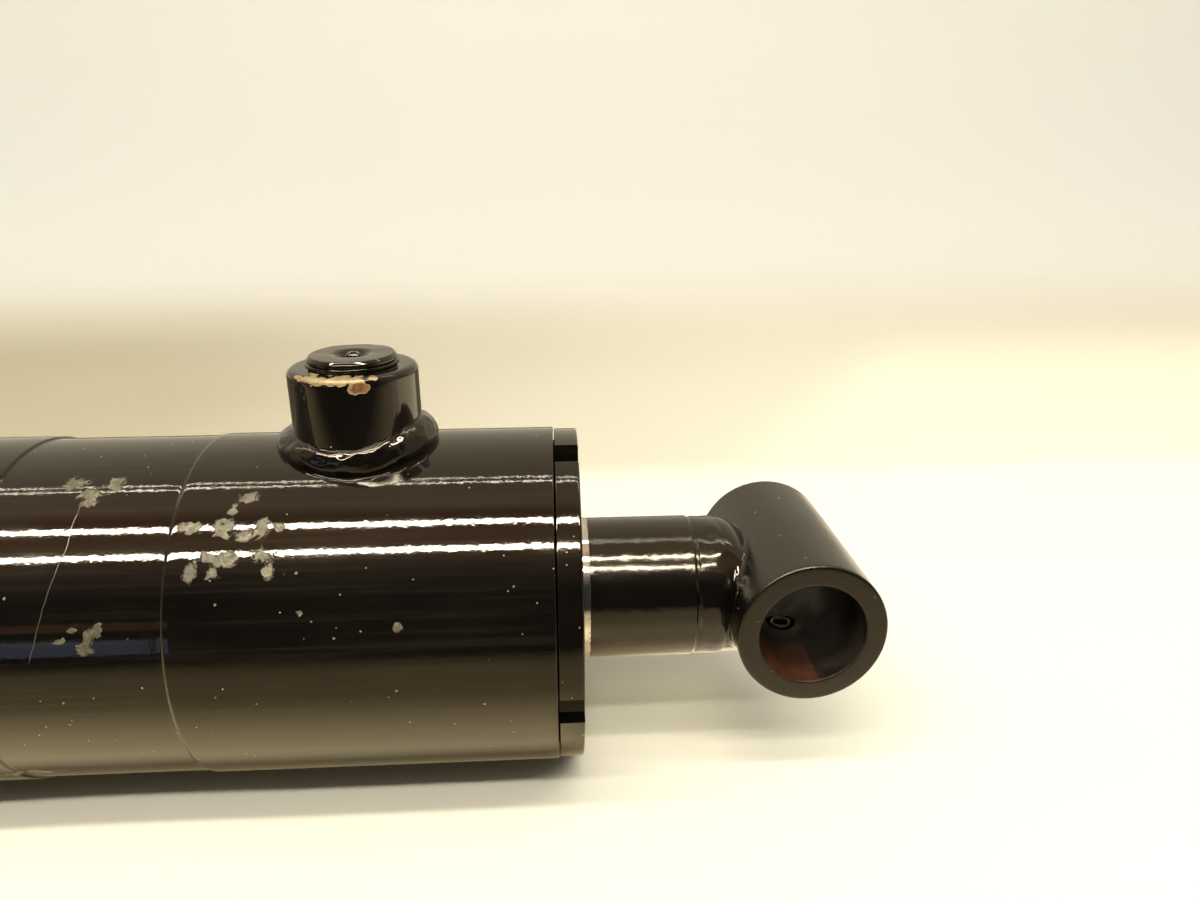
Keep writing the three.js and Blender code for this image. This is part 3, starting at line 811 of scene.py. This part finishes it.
def cap_weld():
    """The girth weld: a low crown with the ripples of a turned, machine-laid bead."""
    middle = (FLANGE_END + BASE) / 2
    half, across = 4.7, 18

    def section_at(turn):
        direction = np.array([0, -cos(turn), sin(turn)])
        wander = 0.35 * wobble((0, cos(turn) * 40, sin(turn) * 40), 9, 3)
        section = []
        for j in range(across + 1):
            s = 2 * j / across - 1
            # Each ripple is an arc that trails behind at the bead's sides.
            ripple = cos((turn * BARREL_R - 1.6 * s * s) * 2 * pi / 2.1)
            crown = BARREL_R - 0.95 + 0.8 * sqrt(max(0.0, 1 - s * s)) + 0.055 * ripple * (1 - s * s)
            section.append((middle + half * s + wander, crown))
        section += [(middle + half * 0.6, 42.0), (middle - half * 0.6, 42.0)]
        return [np.array(on_axis(station)) + direction * radius for station, radius in section]

    return bead("cap_weld", 720, section_at)


place(cap_weld(), "barrel", weld_paint, "black_paint", "base_cap_weld")

# ---- ports


def bezier(t, a, b, c, d):
    """A point of the cubic curve from a to d."""
    u = 1 - t
    return u**3 * a + 3 * t * u * u * b + 3 * t * t * u * c + t**3 * d


def barrel_top(aside):
    """Height of the barrel's surface above its axis, that far aside of the axis."""
    return sqrt(BARREL_R**2 - aside**2)


def port_weld(name, station, seed):
    """A convex fillet round a port boss, laid by hand: soft lumps under thick paint, a wandering toe."""
    across = 36

    def section_at(turn):
        c, s = cos(turn), sin(turn)
        toe = 17.9 + 2.1 * c * c + 0.3 * wobble((c * 18, s * 18, 0), 10, seed)
        foot = np.array([toe, barrel_top(toe * s) - 0.1])
        inner = barrel_top(BOSS_R * s)
        leg = 5.6 + 1.0 * c + 0.6 * wobble((c * 18, s * 18, 5), 10, seed + 1)
        wall = np.array([BOSS_R - 0.1, inner + leg])
        outer = np.array([toe + 0.75, foot[1] + 0.50 * (wall[1] - foot[1])])
        upper = np.array([BOSS_R + 2.3, wall[1] - 0.7])
        section = []
        for j in range(across + 1):
            t = j / across
            point = bezier(t, foot, outer, upper, wall)
            where = (c * 18, s * 18, t * 9)
            lump = 0.46 * wobble(where, 5.5, seed + 2) + 0.31 * wobble(where, 2.8, seed + 3)
            lump += 0.09 * wobble(where, 1.5, seed + 4)
            lift = sin(pi * t) * lump * min(1.0, t / 0.45) ** 1.5
            section.append(point + lift * np.array([cos(1.2 * t), sin(1.2 * t)]))
        section += [(BOSS_R - 1.2, inner - 1.4), (toe - 0.6, barrel_top(toe * s) - 1.4)]
        return [(HEAD + station + r * c, -r * s, AXIS_Z + z) for r, z in section]

    return bead(name, 560, section_at)


def port_boss(name, station):
    outline = [
        (BOSS_FOOT, BOSS_R, 0),
        (BOSS_TOP - 8.9, BOSS_R, 0),
        (BOSS_TOP, BOSS_R, 1.9),
        (BOSS_TOP, 11.35, 0.35),
        (BOSS_TOP - 0.6, 11.25, 0.1),
        (BOSS_TOP - 0.6, 9.5, 0.2),
        (BOSS_TOP - 15, 9.5, 0),
        (BOSS_TOP - 17, 6.35, 0),
        (BOSS_FOOT, 6.35, 0),
    ]
    outline = subdivided(rounded(outline, 6), 0.7, (BOSS_TOP - 9, BOSS_TOP + 1))
    return lathe(name, outline, "z", station, segments=200)


def port_plug(name, station):
    top, under = BOSS_TOP + 2.85, BOSS_TOP + 1.25
    outline = [
        (top - 3.1, 0, 0),
        (top - 3.1, 1.0, 0.5),
        (top - 2.5, 2.3, 0.5),
        (top - 1.2, 2.7, 0.5),
        (top, 4.6, 1.1),
        (top, PLUG_R - 0.7, 0.25),
        (top - 0.85, PLUG_R, 0.25),
        (under, PLUG_R, 0.3),
        (under, 9.2, 0),
        (BOSS_TOP - 12, 9.2, 0.8),
        (BOSS_TOP - 12, 0, 0),
    ]
    plug = lathe(name, subdivided(rounded(outline, 6), 1.5), "z", station)
    return roughen(plug, [(6, 0.10), (2.6, 0.03)], 7)


def port_washer(name, station):
    outline = [
        (BOSS_TOP - 0.3, 9.5, 0.1),
        (BOSS_TOP - 0.3, 10.9, 0.3),
        (BOSS_TOP + 1.05, 10.9, 0.45),
        (BOSS_TOP + 1.05, 9.5, 0.1),
    ]
    washer = lathe(name, rounded(outline), "z", station)
    return roughen(washer, [(6, 0.05)], 9)


def boss_wear(station, strength, chip_angle):
    """Wear on the front of a boss's top edge, and a chip in the paint a little below it."""

    def wear(position):
        x, y, z = position[0] - HEAD - station, position[1], position[2] - AXIS_Z
        radius = hypot(x, y)
        depth = BOSS_TOP - z
        if radius < 11.4 or depth > 8:
            return 0.0
        angle = degrees(atan2(x, -y))
        rim = near(angle, -8, 52) ** 0.35 * max(0.0, 1.15 - abs(depth - 0.5) / 2.0)
        across = radians(angle - chip_angle) * BOSS_R
        across += 1.3 * wobble(position, 2.3, 3) + 0.7 * wobble(position, 1.1, 13)
        deep = depth - 2.2 + 1.2 * wobble(position, 2.1, 4) + 0.6 * wobble(position, 1.0, 14)
        chip = max(0.0, 2.9 - 2.2 * hypot(across / 2.3, deep / 1.8))
        return strength * max(rim * (1 + 0.6 * wobble(position, 3.0, 5)), chip)

    return wear


boss_paint = gloss_paint("boss_paint", peel=0.8, wave=1.6, worn=0.62, dust=0.3)
washer_paint = gloss_paint("washer_paint", peel=1.5, wave=2.0, dust=0.8)
for side, station, seed, wear in (("head", HEAD_PORT, 2, 1.2), ("base", BASE_PORT, 31, 0.7)):
    boss = port_boss(side + "_boss", station)
    paint_attribute(boss, "edge", boss_wear(station, wear, 16))
    place(boss, "barrel", boss_paint, "black_paint", side + "_port_boss")
    weld = port_weld(side + "_boss_weld", station, seed)
    place(weld, "barrel", weld_paint, "black_paint", side + "_port_weld")
    plug = port_plug(side + "_plug", station)
    place(plug, "barrel", plain_paint, "black_paint", side + "_port_plug")
    washer = port_washer(side + "_washer", station)
    place(washer, "barrel", washer_paint, "black_paint", side + "_port_washer")

# ---- rod

ROD_STEP = 36.3  # where the plating ends
ROD_TOE = 43.2  # where the weld to the eye starts


def near_the_weld(position):
    """Thick paint on the rod's end, beyond the step."""
    past_step = position[0] - HEAD - ROD_STEP - 1.0
    return min(1.0, max(0.0, past_step / 4.0))


def piston_rod():
    outline = [
        (NUT_END, 0, 0),
        (NUT_END, 12.7, 1.2),
        (ROD_SHOULDER, 12.7, 0.3),
        (ROD_SHOULDER, ROD_R, 1.0),
        (ROD_STEP, ROD_R, 0.3),
        (ROD_STEP + 0.3, ROD_R - 0.55, 0.2),
        (ROD_STEP + 0.9, ROD_R - 0.55, 0.2),
        (ROD_STEP + 1.4, ROD_R - 0.2, 0.4),
        (ROD_TOE + 2.8, ROD_R - 0.2, 4.0),
        (ROD_TOE + 5.0, ROD_R - 6.0, 0.5),
        (ROD_TOE + 5.0, 0, 0),
    ]
    rod = lathe("rod", subdivided(rounded(outline, 6), 1.2, (-8, 50)), "x", 0, segments=192)
    return roughen(rod, [(5.0, 0.30), (2.4, 0.06)], 23, mask=near_the_weld)


place(piston_rod(), "rod", chrome_rod_material(), "chrome", "piston_rod")


def rod_weld():
    """The bead that fills the saddle between the rod's rounded end and the cross tube."""
    across = 34

    def section_at(clock):
        c, s = cos(clock), sin(clock)
        high, top, low = s * s, max(0.0, s) ** 2, max(0.0, -s) ** 2
        spot = (0, c * 19, s * 19)
        start = ROD_TOE + 1.0 - 2.6 * low + 0.4 * wobble(spot, 9, 5)
        toe = np.array([start, ROD_R - 0.45])
        reach = (EYE_R + 2.2) * (1 - high) + (15.7 + 2.4 * low) * high + 0.4 * wobble(spot, 9, 6)
        rise = min(abs(reach * s), EYE_R - 0.4)
        eye = np.array([ROD_EYE - sqrt(EYE_R**2 - rise**2) + 0.15, reach])
        valley = np.array([toe[0] + 2.4 + 4.0 * top + 1.2 * low, ROD_R - 1.6 + 0.9 * top + 1.2 * low])
        crown = np.array([eye[0] - 1.3 - 1.3 * top - 1.0 * low, reach - 0.8 - 2.6 * top + 1.4 * low])
        section = []
        for j in range(across + 1):
            t = j / across
            point = bezier(t, toe, valley, crown, eye)
            where = (t * 8, c * 19, s * 19)
            lump = (1 - 0.5 * top) * 0.7 * wobble(where, 5.5, 11)
            lump += 0.55 * (1 - 0.8 * high) * wobble(where, 2.4, 12)
            swell = sin(pi * t) * t
            section.append(point + swell * lump * np.array([-0.55, 0.83]))
        section += [(eye[0] + 0.2, reach - 2.2), (ROD_TOE + 2.4, ROD_R - 6.0), (ROD_TOE + 0.4, ROD_R - 3.0)]
        return [(HEAD + x, -r * c, AXIS_Z + r * s) for x, r in section]

    return bead("rod_weld", 460, section_at)


place(rod_weld(), "rod", weld_paint, "black_paint", "rod_eye_weld")

# ---- cross tubes and grease fittings


def cross_tube(name, station):
    outline = [
        (-EYE_HALF, EYE_BORE_R, 0.7),
        (-EYE_HALF, EYE_R, 0.9),
        (EYE_HALF, EYE_R, 0.9),
        (EYE_HALF, EYE_BORE_R, 0.7),
    ]
    tube = lathe(name, subdivided(rounded(outline, 5), 1.0), "y", station, segments=220)
    hole = [
        (-EYE_R - 2, 0),
        (-EYE_R - 2, 3.3),
        (-EYE_BORE_R - 0.9, 3.3),
        (-EYE_BORE_R + 1.2, 4.6),
        (-8, 4.6),
        (-8, 0),
    ]
    return cut(tube, lathe("cutter", hole, "z", station, segments=48))


def fitting_rim_highlight(position):
    """Painted highlight: a ring of near-white bare metal on the rim of the fitting's inner end."""
    depth = AXIS_Z - position[2]
    return 1.3 if depth < 13.2 else 0.0


ACROSS_FLATS = 7.94  # of the fitting's hexagon, 5/16 in


def grease_fitting(name, station):
    seat = EYE_R + GAP
    body = [
        (14.6, 1.3, 0.1),
        (14.6, 2.2, 0.1),
        (12.95, 2.35, 0.1),
        (12.95, 2.60, 0.1),
        (14.2, 3.0, 0.2),
        (seat - 0.2, 3.0, 0),
        (seat - 0.2, 2.6, 0),
        (seat + 4.2, 2.6, 0.3),
        (seat + 5.6, 2.15, 0.5),
        (seat + 7.0, 3.2, 0.4),
        (seat + 7.8, 3.2, 0.6),
        (seat + 9.0, 1.9, 0.4),
        (seat + 9.0, 0.9, 0.1),
        (seat + 8.2, 0.9, 0.1),
        (seat + 8.2, 1.3, 0),
    ]
    nipple = lathe(name, rounded(body, 4), "-z", station, segments=64)
    corner = ACROSS_FLATS / 2 / cos(pi / 6)
    hexagon = [(seat, 2.0), (seat, corner), (seat + 3.5, corner), (seat + 3.5, 2.0)]
    nut = bevelled(lathe("cutter", hexagon, "-z", station, segments=6), 0.35)
    join = nipple.modifiers.new("join", "BOOLEAN")
    join.operation, join.solver, join.object = "UNION", "EXACT", nut
    applied(nipple)
    bpy.data.objects.remove(nut)
    return nipple


def bore_finish(g, where, layers):
    """Thin paint in the pin bore: reddish primer shows low at the front, rust and dust behind it."""
    x, y, z = g.xyz(where)
    z = g.minus(z, AXIS_Z * MM)
    offsets = [g.minus(x, (HEAD + eye) * MM) for eye in (ROD_EYE, BASE_EYE)]
    squares = [g.plus(g.math("POWER", offset, 2.0), g.math("POWER", z, 2.0)) for offset in offsets]
    radius = g.math("MINIMUM", *(g.math("SQRT", square) for square in squares))
    inside = g.ramp(radius, (EYE_BORE_R + 0.45) * MM, (EYE_BORE_R + 0.2) * MM)
    patchy = g.noise(where, 95, 5.0, 0.62, 0.5)
    low = g.ramp(z, -5 * MM, -10 * MM)
    front = g.ramp(y, -8 * MM, -13 * MM)
    left = g.ramp(offsets[0], 3.2 * MM, 2.4 * MM)
    bare = g.times(g.times(low, front), g.times(left, g.ramp(patchy, 0.3, 0.42)))
    bare = g.times(bare, inside)
    coat(g, layers, inside, g.mix(g.ramp(patchy, 0.42, 0.62), PAINT_DULL, (0.016, 0.011, 0.008, 1)))
    bore_rough = g.ramp(patchy, 0.35, 0.65, 0.42, 0.66)
    layers["shine"] = g.math("MULTIPLY_ADD", inside, -0.33, 0.5)
    layers["rough"] = g.math("MULTIPLY_ADD", inside, g.minus(bore_rough, layers["rough"]), layers["rough"])
    rust = g.mix(g.ramp(g.noise(where, 260, 4.0, 0.65), 0.40, 0.85), PRIMER, (0.105, 0.040, 0.016, 1))
    coat(g, layers, bare, rust, 0.45)


# Painted highlight: the fittings' near-white bare metal makes a bright ring on the rim of their inner end.
fitting_paint_and_highlight = gloss_paint("fitting_paint_and_highlight", haze=0.2, worn=0.8, bare_metal_and_highlight=(0.95, 0.90, 0.74, 1))
eye_paint = gloss_paint(
    "eye_paint", wave=1.4, haze=0.19, worn=0.40, bare_metal_and_highlight=(0.66, 0.59, 0.44, 1), extra=bore_finish
)

EYE_KNOCKS = (170, 118, 80, 58, -30)  # angles round the rim, from straight down towards +X


def eye_wear(station):
    """Wear on the rims of the cross tube's outer edges."""

    def wear(position):
        reach = abs(position[1])
        radius = hypot(position[0] - HEAD - station, position[2] - AXIS_Z)
        end = near(reach, EYE_HALF, 1.3)
        angle = degrees(atan2(position[0] - HEAD - station, AXIS_Z - position[2]))
        knock = max(near(angle, at, 4.5) for at in EYE_KNOCKS)
        outside = (0.8 + 0.9 * knock) * near(radius, EYE_R, 1.3)
        bore = 1.32 * near(angle, 24, 40) * near(radius, EYE_BORE_R + 0.2, 0.9)
        return end * max(outside, bore)

    return wear


for side, body, station in (("rod", "rod", ROD_EYE), ("base", "barrel", BASE_EYE)):
    tube = cross_tube(side + "_cross_tube", station)
    paint_attribute(tube, "edge", eye_wear(station))
    place(tube, body, eye_paint, "black_paint", side + "_eye")
    fitting = grease_fitting(side + "_grease_nipple", station)
    paint_attribute(fitting, "edge", fitting_rim_highlight)
    place(fitting, body, fitting_paint_and_highlight, "black_paint", side + "_eye_grease_fitting")


def eye_weld(name, side, seed):
    """One of the two fillets between the base eye and the cap; side is 1 above, -1 below."""
    half = EYE_HALF - 1.5
    along, across = 150, 22
    face = CAP_OUTER + 0.15
    sections = []
    for i in range(along + 1):
        u = 2 * i / along - 1
        shrink = sqrt(max(0.0, 1 - max(0.0, (abs(u) - 0.84) / 0.16) ** 2))
        shrink = 0.15 + 0.85 * shrink
        y = half * u
        spot = (0, y, side * 20)
        toe = np.array([face, 15.0 + (9.4 + 0.7 * wobble(spot, 8, seed)) * shrink])
        lip = 15.0 + (3.2 + 0.5 * wobble(spot, 7, seed + 1)) * shrink
        eye = np.array([BASE_EYE + sqrt(max(0.0, EYE_R**2 - lip**2)) - 0.1, lip])
        swell_to = np.array([face - 4.2 * shrink, 15.0 + 10.2 * shrink])
        section = []
        for j in range(across + 1):
            t = j / across
            point = (1 - t) ** 2 * toe + 2 * t * (1 - t) * swell_to + t * t * eye
            ripple = 0.045 * cos((y + 11 * (t - 0.5) ** 2) * 2 * pi / 3.1)
            where = (t * 9, y, side * 20)
            lump = 0.7 * wobble(where, 6.0, seed + 2) + 0.2 * wobble(where, 2.6, seed + 3)
            lift = sin(pi * t) * (ripple + lump) * shrink
            section.append(point + lift * np.array([-0.7, 0.7]))
        section += [(BASE_EYE + 14.0, 12.6), (face + 0.3, 12.6)]
        sections.append([(HEAD + x, y, AXIS_Z + side * z) for x, z in section])
    return loft(name, sections)


for end, side, seed in (("top", 1, 41), ("bottom", -1, 51)):
    weld = eye_weld("base_weld_" + end, side, seed)
    place(weld, "barrel", weld_paint, "black_paint", "base_eye_weld_" + end)

# ---- the CAD nodes that stay

turned_steel = machined("turned_steel", (0.46, 0.45, 0.42, 1), (0.34, 0.33, 0.31, 1), 0.30, (2400, 120, 120))
turned_iron = machined("turned_iron", (0.24, 0.23, 0.22, 1), (0.15, 0.15, 0.14, 1), 0.42, (1800, 120, 120))
nylon = machined(
    "filled_nylon", (0.028, 0.075, 0.050, 1), (0.018, 0.052, 0.034, 1), 0.45, (1500, 150, 150), metal=0.0
)
nitrile = moulded("nitrile", (0.018, 0.017, 0.016, 1), (0.010, 0.010, 0.009, 1), 0.5)
STAYING = {
    "piston": turned_iron,
    "piston_nut": turned_steel,
    "piston_o_ring": nitrile,
    "piston_seal_energizer": nitrile,
    "gland_o_ring": nitrile,
    "gland_backup_ring": nylon,
    "rod_wear_ring": nylon,
    "piston_seal": nylon,
    "piston_wear_ring_base_side": nylon,
    "piston_wear_ring_head_side": nylon,
    "rod_seal": urethane,
}
for name, material in STAYING.items():
    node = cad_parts[name]
    node.data.materials.clear()
    node.data.materials.append(material)

# ---- floor and light

TABLE_FRONT = -0.280
TABLE_BACK = 0.194
COVE_START = 0.85
COVE_RADIUS = 0.45
WALL_TOP = 4.0
FLOOR_Z = -0.0001
NEAR_SIDE = 1.5  # half widths of the stage's middle and of all of it
FAR_SIDE = 12


def floor_places(g):
    """A floor point, its x and y, and a mask of what lies behind the table's back edge."""
    where = g.position()
    x, y, _ = g.xyz(where)
    return where, x, y, g.ramp(y, TABLE_BACK - 0.010, TABLE_BACK + 0.030)


def floor_material():
    """Off-white table, and behind its back edge a wall with painted shade, darker near the table and to the
    left.

    Far back the wall gives off a little light, and painted light glows on the table under the rod, beside the
    gland, lifting the shadow there.
    """
    g = Graph("floor")
    where, x, y, back = floor_places(g)
    # Painted shade: the wall darkens near the table and to the left.
    left = g.times(g.ramp(x, 0.42, -0.25), g.ramp(y, 1.10, 0.30))
    cloud = g.noise(where, 3.0, 2.0)
    grain = g.noise(where, 900, 3.0)
    wall = g.mix(left, (0.82, 0.78, 0.68, 1), (0.46, 0.41, 0.29, 1))
    wall = g.mix(g.ramp(cloud, 0.2, 0.8, 0.0, 0.2), wall, (0.86, 0.82, 0.72, 1))
    wall = g.mix(g.ramp(y, 0.5, 1.2), wall, (0.78, 0.77, 0.73, 1))
    height = g.times(grain, 0.02 * MM)
    # Painted light: an amber glow on the table under the rod lifts the shadow there.
    past_head = g.minus(x, HEAD * MM)
    painted_light_under_rod = g.times(g.ramp(past_head, 0.0, 0.014), g.ramp(past_head, 0.062, 0.040))
    painted_light_under_rod = g.times(painted_light_under_rod, g.ramp(g.math("ABSOLUTE", y), 0.034, 0.010, 0.0, 0.15))
    return g.principled(
        Base_Color=g.mix(back, (0.88, 0.86, 0.78, 1), wall),
        Roughness=0.62,
        Metallic=0.0,
        Emission_Color=g.mix(back, (1.0, 0.88, 0.50, 1), (1.0, 0.96, 0.88, 1)),
        Emission_Strength=g.plus(painted_light_under_rod, g.ramp(y, 0.45, 1.10, 0.0, 0.25)),
        Normal=g.bump(height, 1.0),
    )


def mirrored_floor_material():
    """The floor as the paint reflects it, a painted reflection: glowing bright beside the cylinder and behind
    the rod eye, painted dim in front.
    """
    g = Graph("mirrored_floor")
    where, x, y, back = floor_places(g)
    front = g.ramp(y, -0.09, TABLE_FRONT)
    cloud = g.noise(where, 5.0, 3.0)
    # Painted reflection: the table's colour darkens towards its front edge.
    table = g.mix(front, (0.93, 0.80, 0.54, 1), (0.12, 0.10, 0.07, 1))
    wall = g.mix(g.ramp(cloud, 0.2, 0.8), (0.72, 0.66, 0.50, 1), (0.80, 0.74, 0.58, 1))
    # Painted light: the sheet glows beside the barrel, under the rod, in front of the barrel and beyond the
    # head.
    by_barrel = g.times(g.ramp(y, -0.10, -0.045), g.ramp(y, -0.028, -0.041))
    by_rod = g.times(g.ramp(y, -0.10, -0.030), g.ramp(y, 0.010, -0.020, 0.0, 0.5))
    beside = g.mix(g.ramp(x, HEAD * MM - 0.005, HEAD * MM + 0.020), by_barrel, by_rod)
    front_glow = g.times(g.ramp(y, -0.29, -0.14), g.ramp(y, -0.028, -0.060, 0.0, 0.36))
    beyond_head = g.ramp(x, HEAD * MM, HEAD * MM + 0.06)
    right_glow = g.times(beyond_head, g.ramp(y, -0.03, 0.02, 0.10, 1.4))
    # The glow keeps to the slanted strip that the rod eye's side reflects and fades before the sheet ends.
    slant = g.math("MULTIPLY_ADD", g.most(y, 0.0), -0.6, g.minus(x, HEAD * MM))
    right_glow = g.times(right_glow, g.times(g.ramp(slant, -0.06, 0.02), g.ramp(y, 0.62, 0.38)))
    far = g.plus(front_glow, right_glow)
    return g.principled(
        Base_Color=g.mix(back, table, wall),
        Roughness=0.62,
        Metallic=0.0,
        Emission_Color=g.mix(beyond_head, (1.0, 0.84, 0.52, 1), (1.0, 0.87, 0.66, 1)),
        Emission_Strength=g.plus(g.times(beside, 1.15), far),
    )


def sheet(name, x, path):
    """A sheet between two x values that follows a path of (y, z) points, in metres."""
    vertices = [(side / MM, y / MM, z / MM) for y, z in path for side in x]
    faces = [(2 * i, 2 * i + 1, 2 * i + 3, 2 * i + 2) for i in range(len(path) - 1)]
    return make_object(name, vertices, faces)


def cove():
    """The floor's back edge curving up into a wall."""
    steps = 16
    path = []
    for i in range(steps + 1):
        angle = pi / 2 * i / steps
        along, up = COVE_RADIUS * sin(angle), COVE_RADIUS * (1 - cos(angle))
        path.append((COVE_START + along, FLOOR_Z + up))
    return path + [(path[-1][0], WALL_TOP)]


floor_look, mirrored_look = floor_material(), mirrored_floor_material()
table_path = [(TABLE_FRONT, FLOOR_Z), (COVE_START, FLOOR_Z)]
for name, x, path in (
    ("floor", (-NEAR_SIDE, NEAR_SIDE), table_path),
    ("floor_front", (-FAR_SIDE, FAR_SIDE), [(-FAR_SIDE, FLOOR_Z), (TABLE_FRONT, FLOOR_Z)]),
    ("floor_left", (-FAR_SIDE, -NEAR_SIDE), table_path),
    ("floor_right", (NEAR_SIDE, FAR_SIDE), table_path),
    ("wall", (-FAR_SIDE, FAR_SIDE), cove()),
    ("floor_mirrored", (-NEAR_SIDE, NEAR_SIDE), table_path),
):
    plane = sheet(name, x, path)
    mirrored = name == "floor_mirrored"
    plane.data.materials.append(mirrored_look if mirrored else floor_look)
    plane.visible_glossy = mirrored
    if mirrored:
        plane.visible_camera = plane.visible_diffuse = plane.visible_shadow = False


LAMP_DISTANCE = 1.2


def strip_light(name, elevation, centre_x, length, width, radiance, glossy, colour=(1.0, 0.96, 0.85)):
    """A long lamp parallel to the cylinder, at an elevation measured from the front.

    It either shows in reflections or lights the scene, so that each can be set by itself.
    """
    data = bpy.data.lights.new(name, "AREA")
    data.shape = "RECTANGLE"
    data.size, data.size_y = length, width
    data.energy = radiance * pi * length * width
    data.color = colour
    light = bpy.data.objects.new(name, data)
    up = radians(elevation)
    away = Vector((0, -cos(up), sin(up)))
    along = Vector((1, 0, 0))
    turn = Matrix((along, away.cross(along), away)).transposed().to_4x4()
    target = Vector((centre_x, 0, AXIS_Z * MM))
    light.matrix_world = Matrix.Translation(target + away * LAMP_DISTANCE) @ turn
    light.visible_glossy = glossy
    light.visible_diffuse = not glossy
    light.visible_camera = False
    bpy.context.scene.collection.objects.link(light)


strip_light("tube_low", 55.2, -0.15, 1.30, 0.066, 60, True)
strip_light("tube_high", 72.9, -0.05, 1.50, 0.066, 60, True)
strip_light("rear_line_1", 103.6, 0.0, 2.4, 0.018, 15, True)
strip_light("rear_line_2", 107.4, 0.0, 2.4, 0.018, 11, True)
strip_light("blue_window", -1.0, -0.84, 0.74, 0.19, 0.75, True, (0.38, 0.52, 0.90))
strip_light("brown_shelf", 12.0, -0.84, 0.74, 0.10, 0.40, True, (0.80, 0.36, 0.20))
for name, elevation in (("lamp_low", 55.2), ("lamp_high", 72.9)):
    strip_light(name, elevation, 0.1, 2.2, 0.07, 26, False, (1.0, 0.945, 0.78))


# What reflections see of the world, by clock angle.
WORLD_STOPS = [
    (-180, (0.90, 0.80, 0.62)),
    (-90, (0.20, 0.18, 0.14)),
    (-10, (0.036, 0.033, 0.031)),
    (28, (0.036, 0.033, 0.031)),
    (44, (0.22, 0.17, 0.14)),
    (52, (0.46, 0.30, 0.19)),
    (64, (0.62, 0.40, 0.22)),
    (80, (0.40, 0.21, 0.12)),
    (88, (0.80, 0.58, 0.38)),
    (106, (0.66, 0.54, 0.42)),
    (125, (0.74, 0.64, 0.46)),
    (150, (0.77, 0.68, 0.50)),
    (180, (0.77, 0.68, 0.50)),
]


def make_world():
    """Dim in front of and above the cylinder, as in a room lit by two tubes, and pale elsewhere.

    Reflections, soft light and the camera each see their own version.
    """
    g = Graph("world", world=True)
    ray = g.add("ShaderNodeTexCoord").outputs["Generated"]
    x, y, z = g.xyz(ray)
    angle = g.math("ARCTAN2", z, g.times(y, -1.0))
    share = g.math("MULTIPLY_ADD", angle, 1 / (2 * pi), 0.5)
    ramp = g.add("ShaderNodeValToRGB", {"Fac": share})
    while len(ramp.color_ramp.elements) < len(WORLD_STOPS):
        ramp.color_ramp.elements.new(0.5)
    for element, (clock, colour) in zip(ramp.color_ramp.elements, WORLD_STOPS):
        element.position = clock / 360 + 0.5
        element.color = (*colour, 1)
    sideways = g.ramp(g.math("ABSOLUTE", x), 0.80, 0.98)
    glossy = g.mix(sideways, ramp.outputs["Color"], (0.42, 0.36, 0.28, 1))
    kind = g.add("ShaderNodeLightPath")
    low = g.times(g.ramp(angle, -1.6, -1.5), g.ramp(angle, 0.98, 0.70))
    low = g.times(low, g.ramp(x, 0.80, 0.45))
    soft = g.mix(low, (0.66, 0.62, 0.52, 1), (0.035, 0.030, 0.026, 1))
    seen = g.mix(kind.outputs["Is Glossy Ray"], soft, glossy)
    seen = g.mix(kind.outputs["Is Camera Ray"], seen, (0.91, 0.86, 0.72, 1))
    background = g.add("ShaderNodeBackground", {"Color": seen, "Strength": 1.0})
    g.add("ShaderNodeOutputWorld", {"Surface": background.outputs[0]})
    bpy.context.scene.world = g.owner


make_world()
bpy.context.scene.view_settings.view_transform = "Standard"
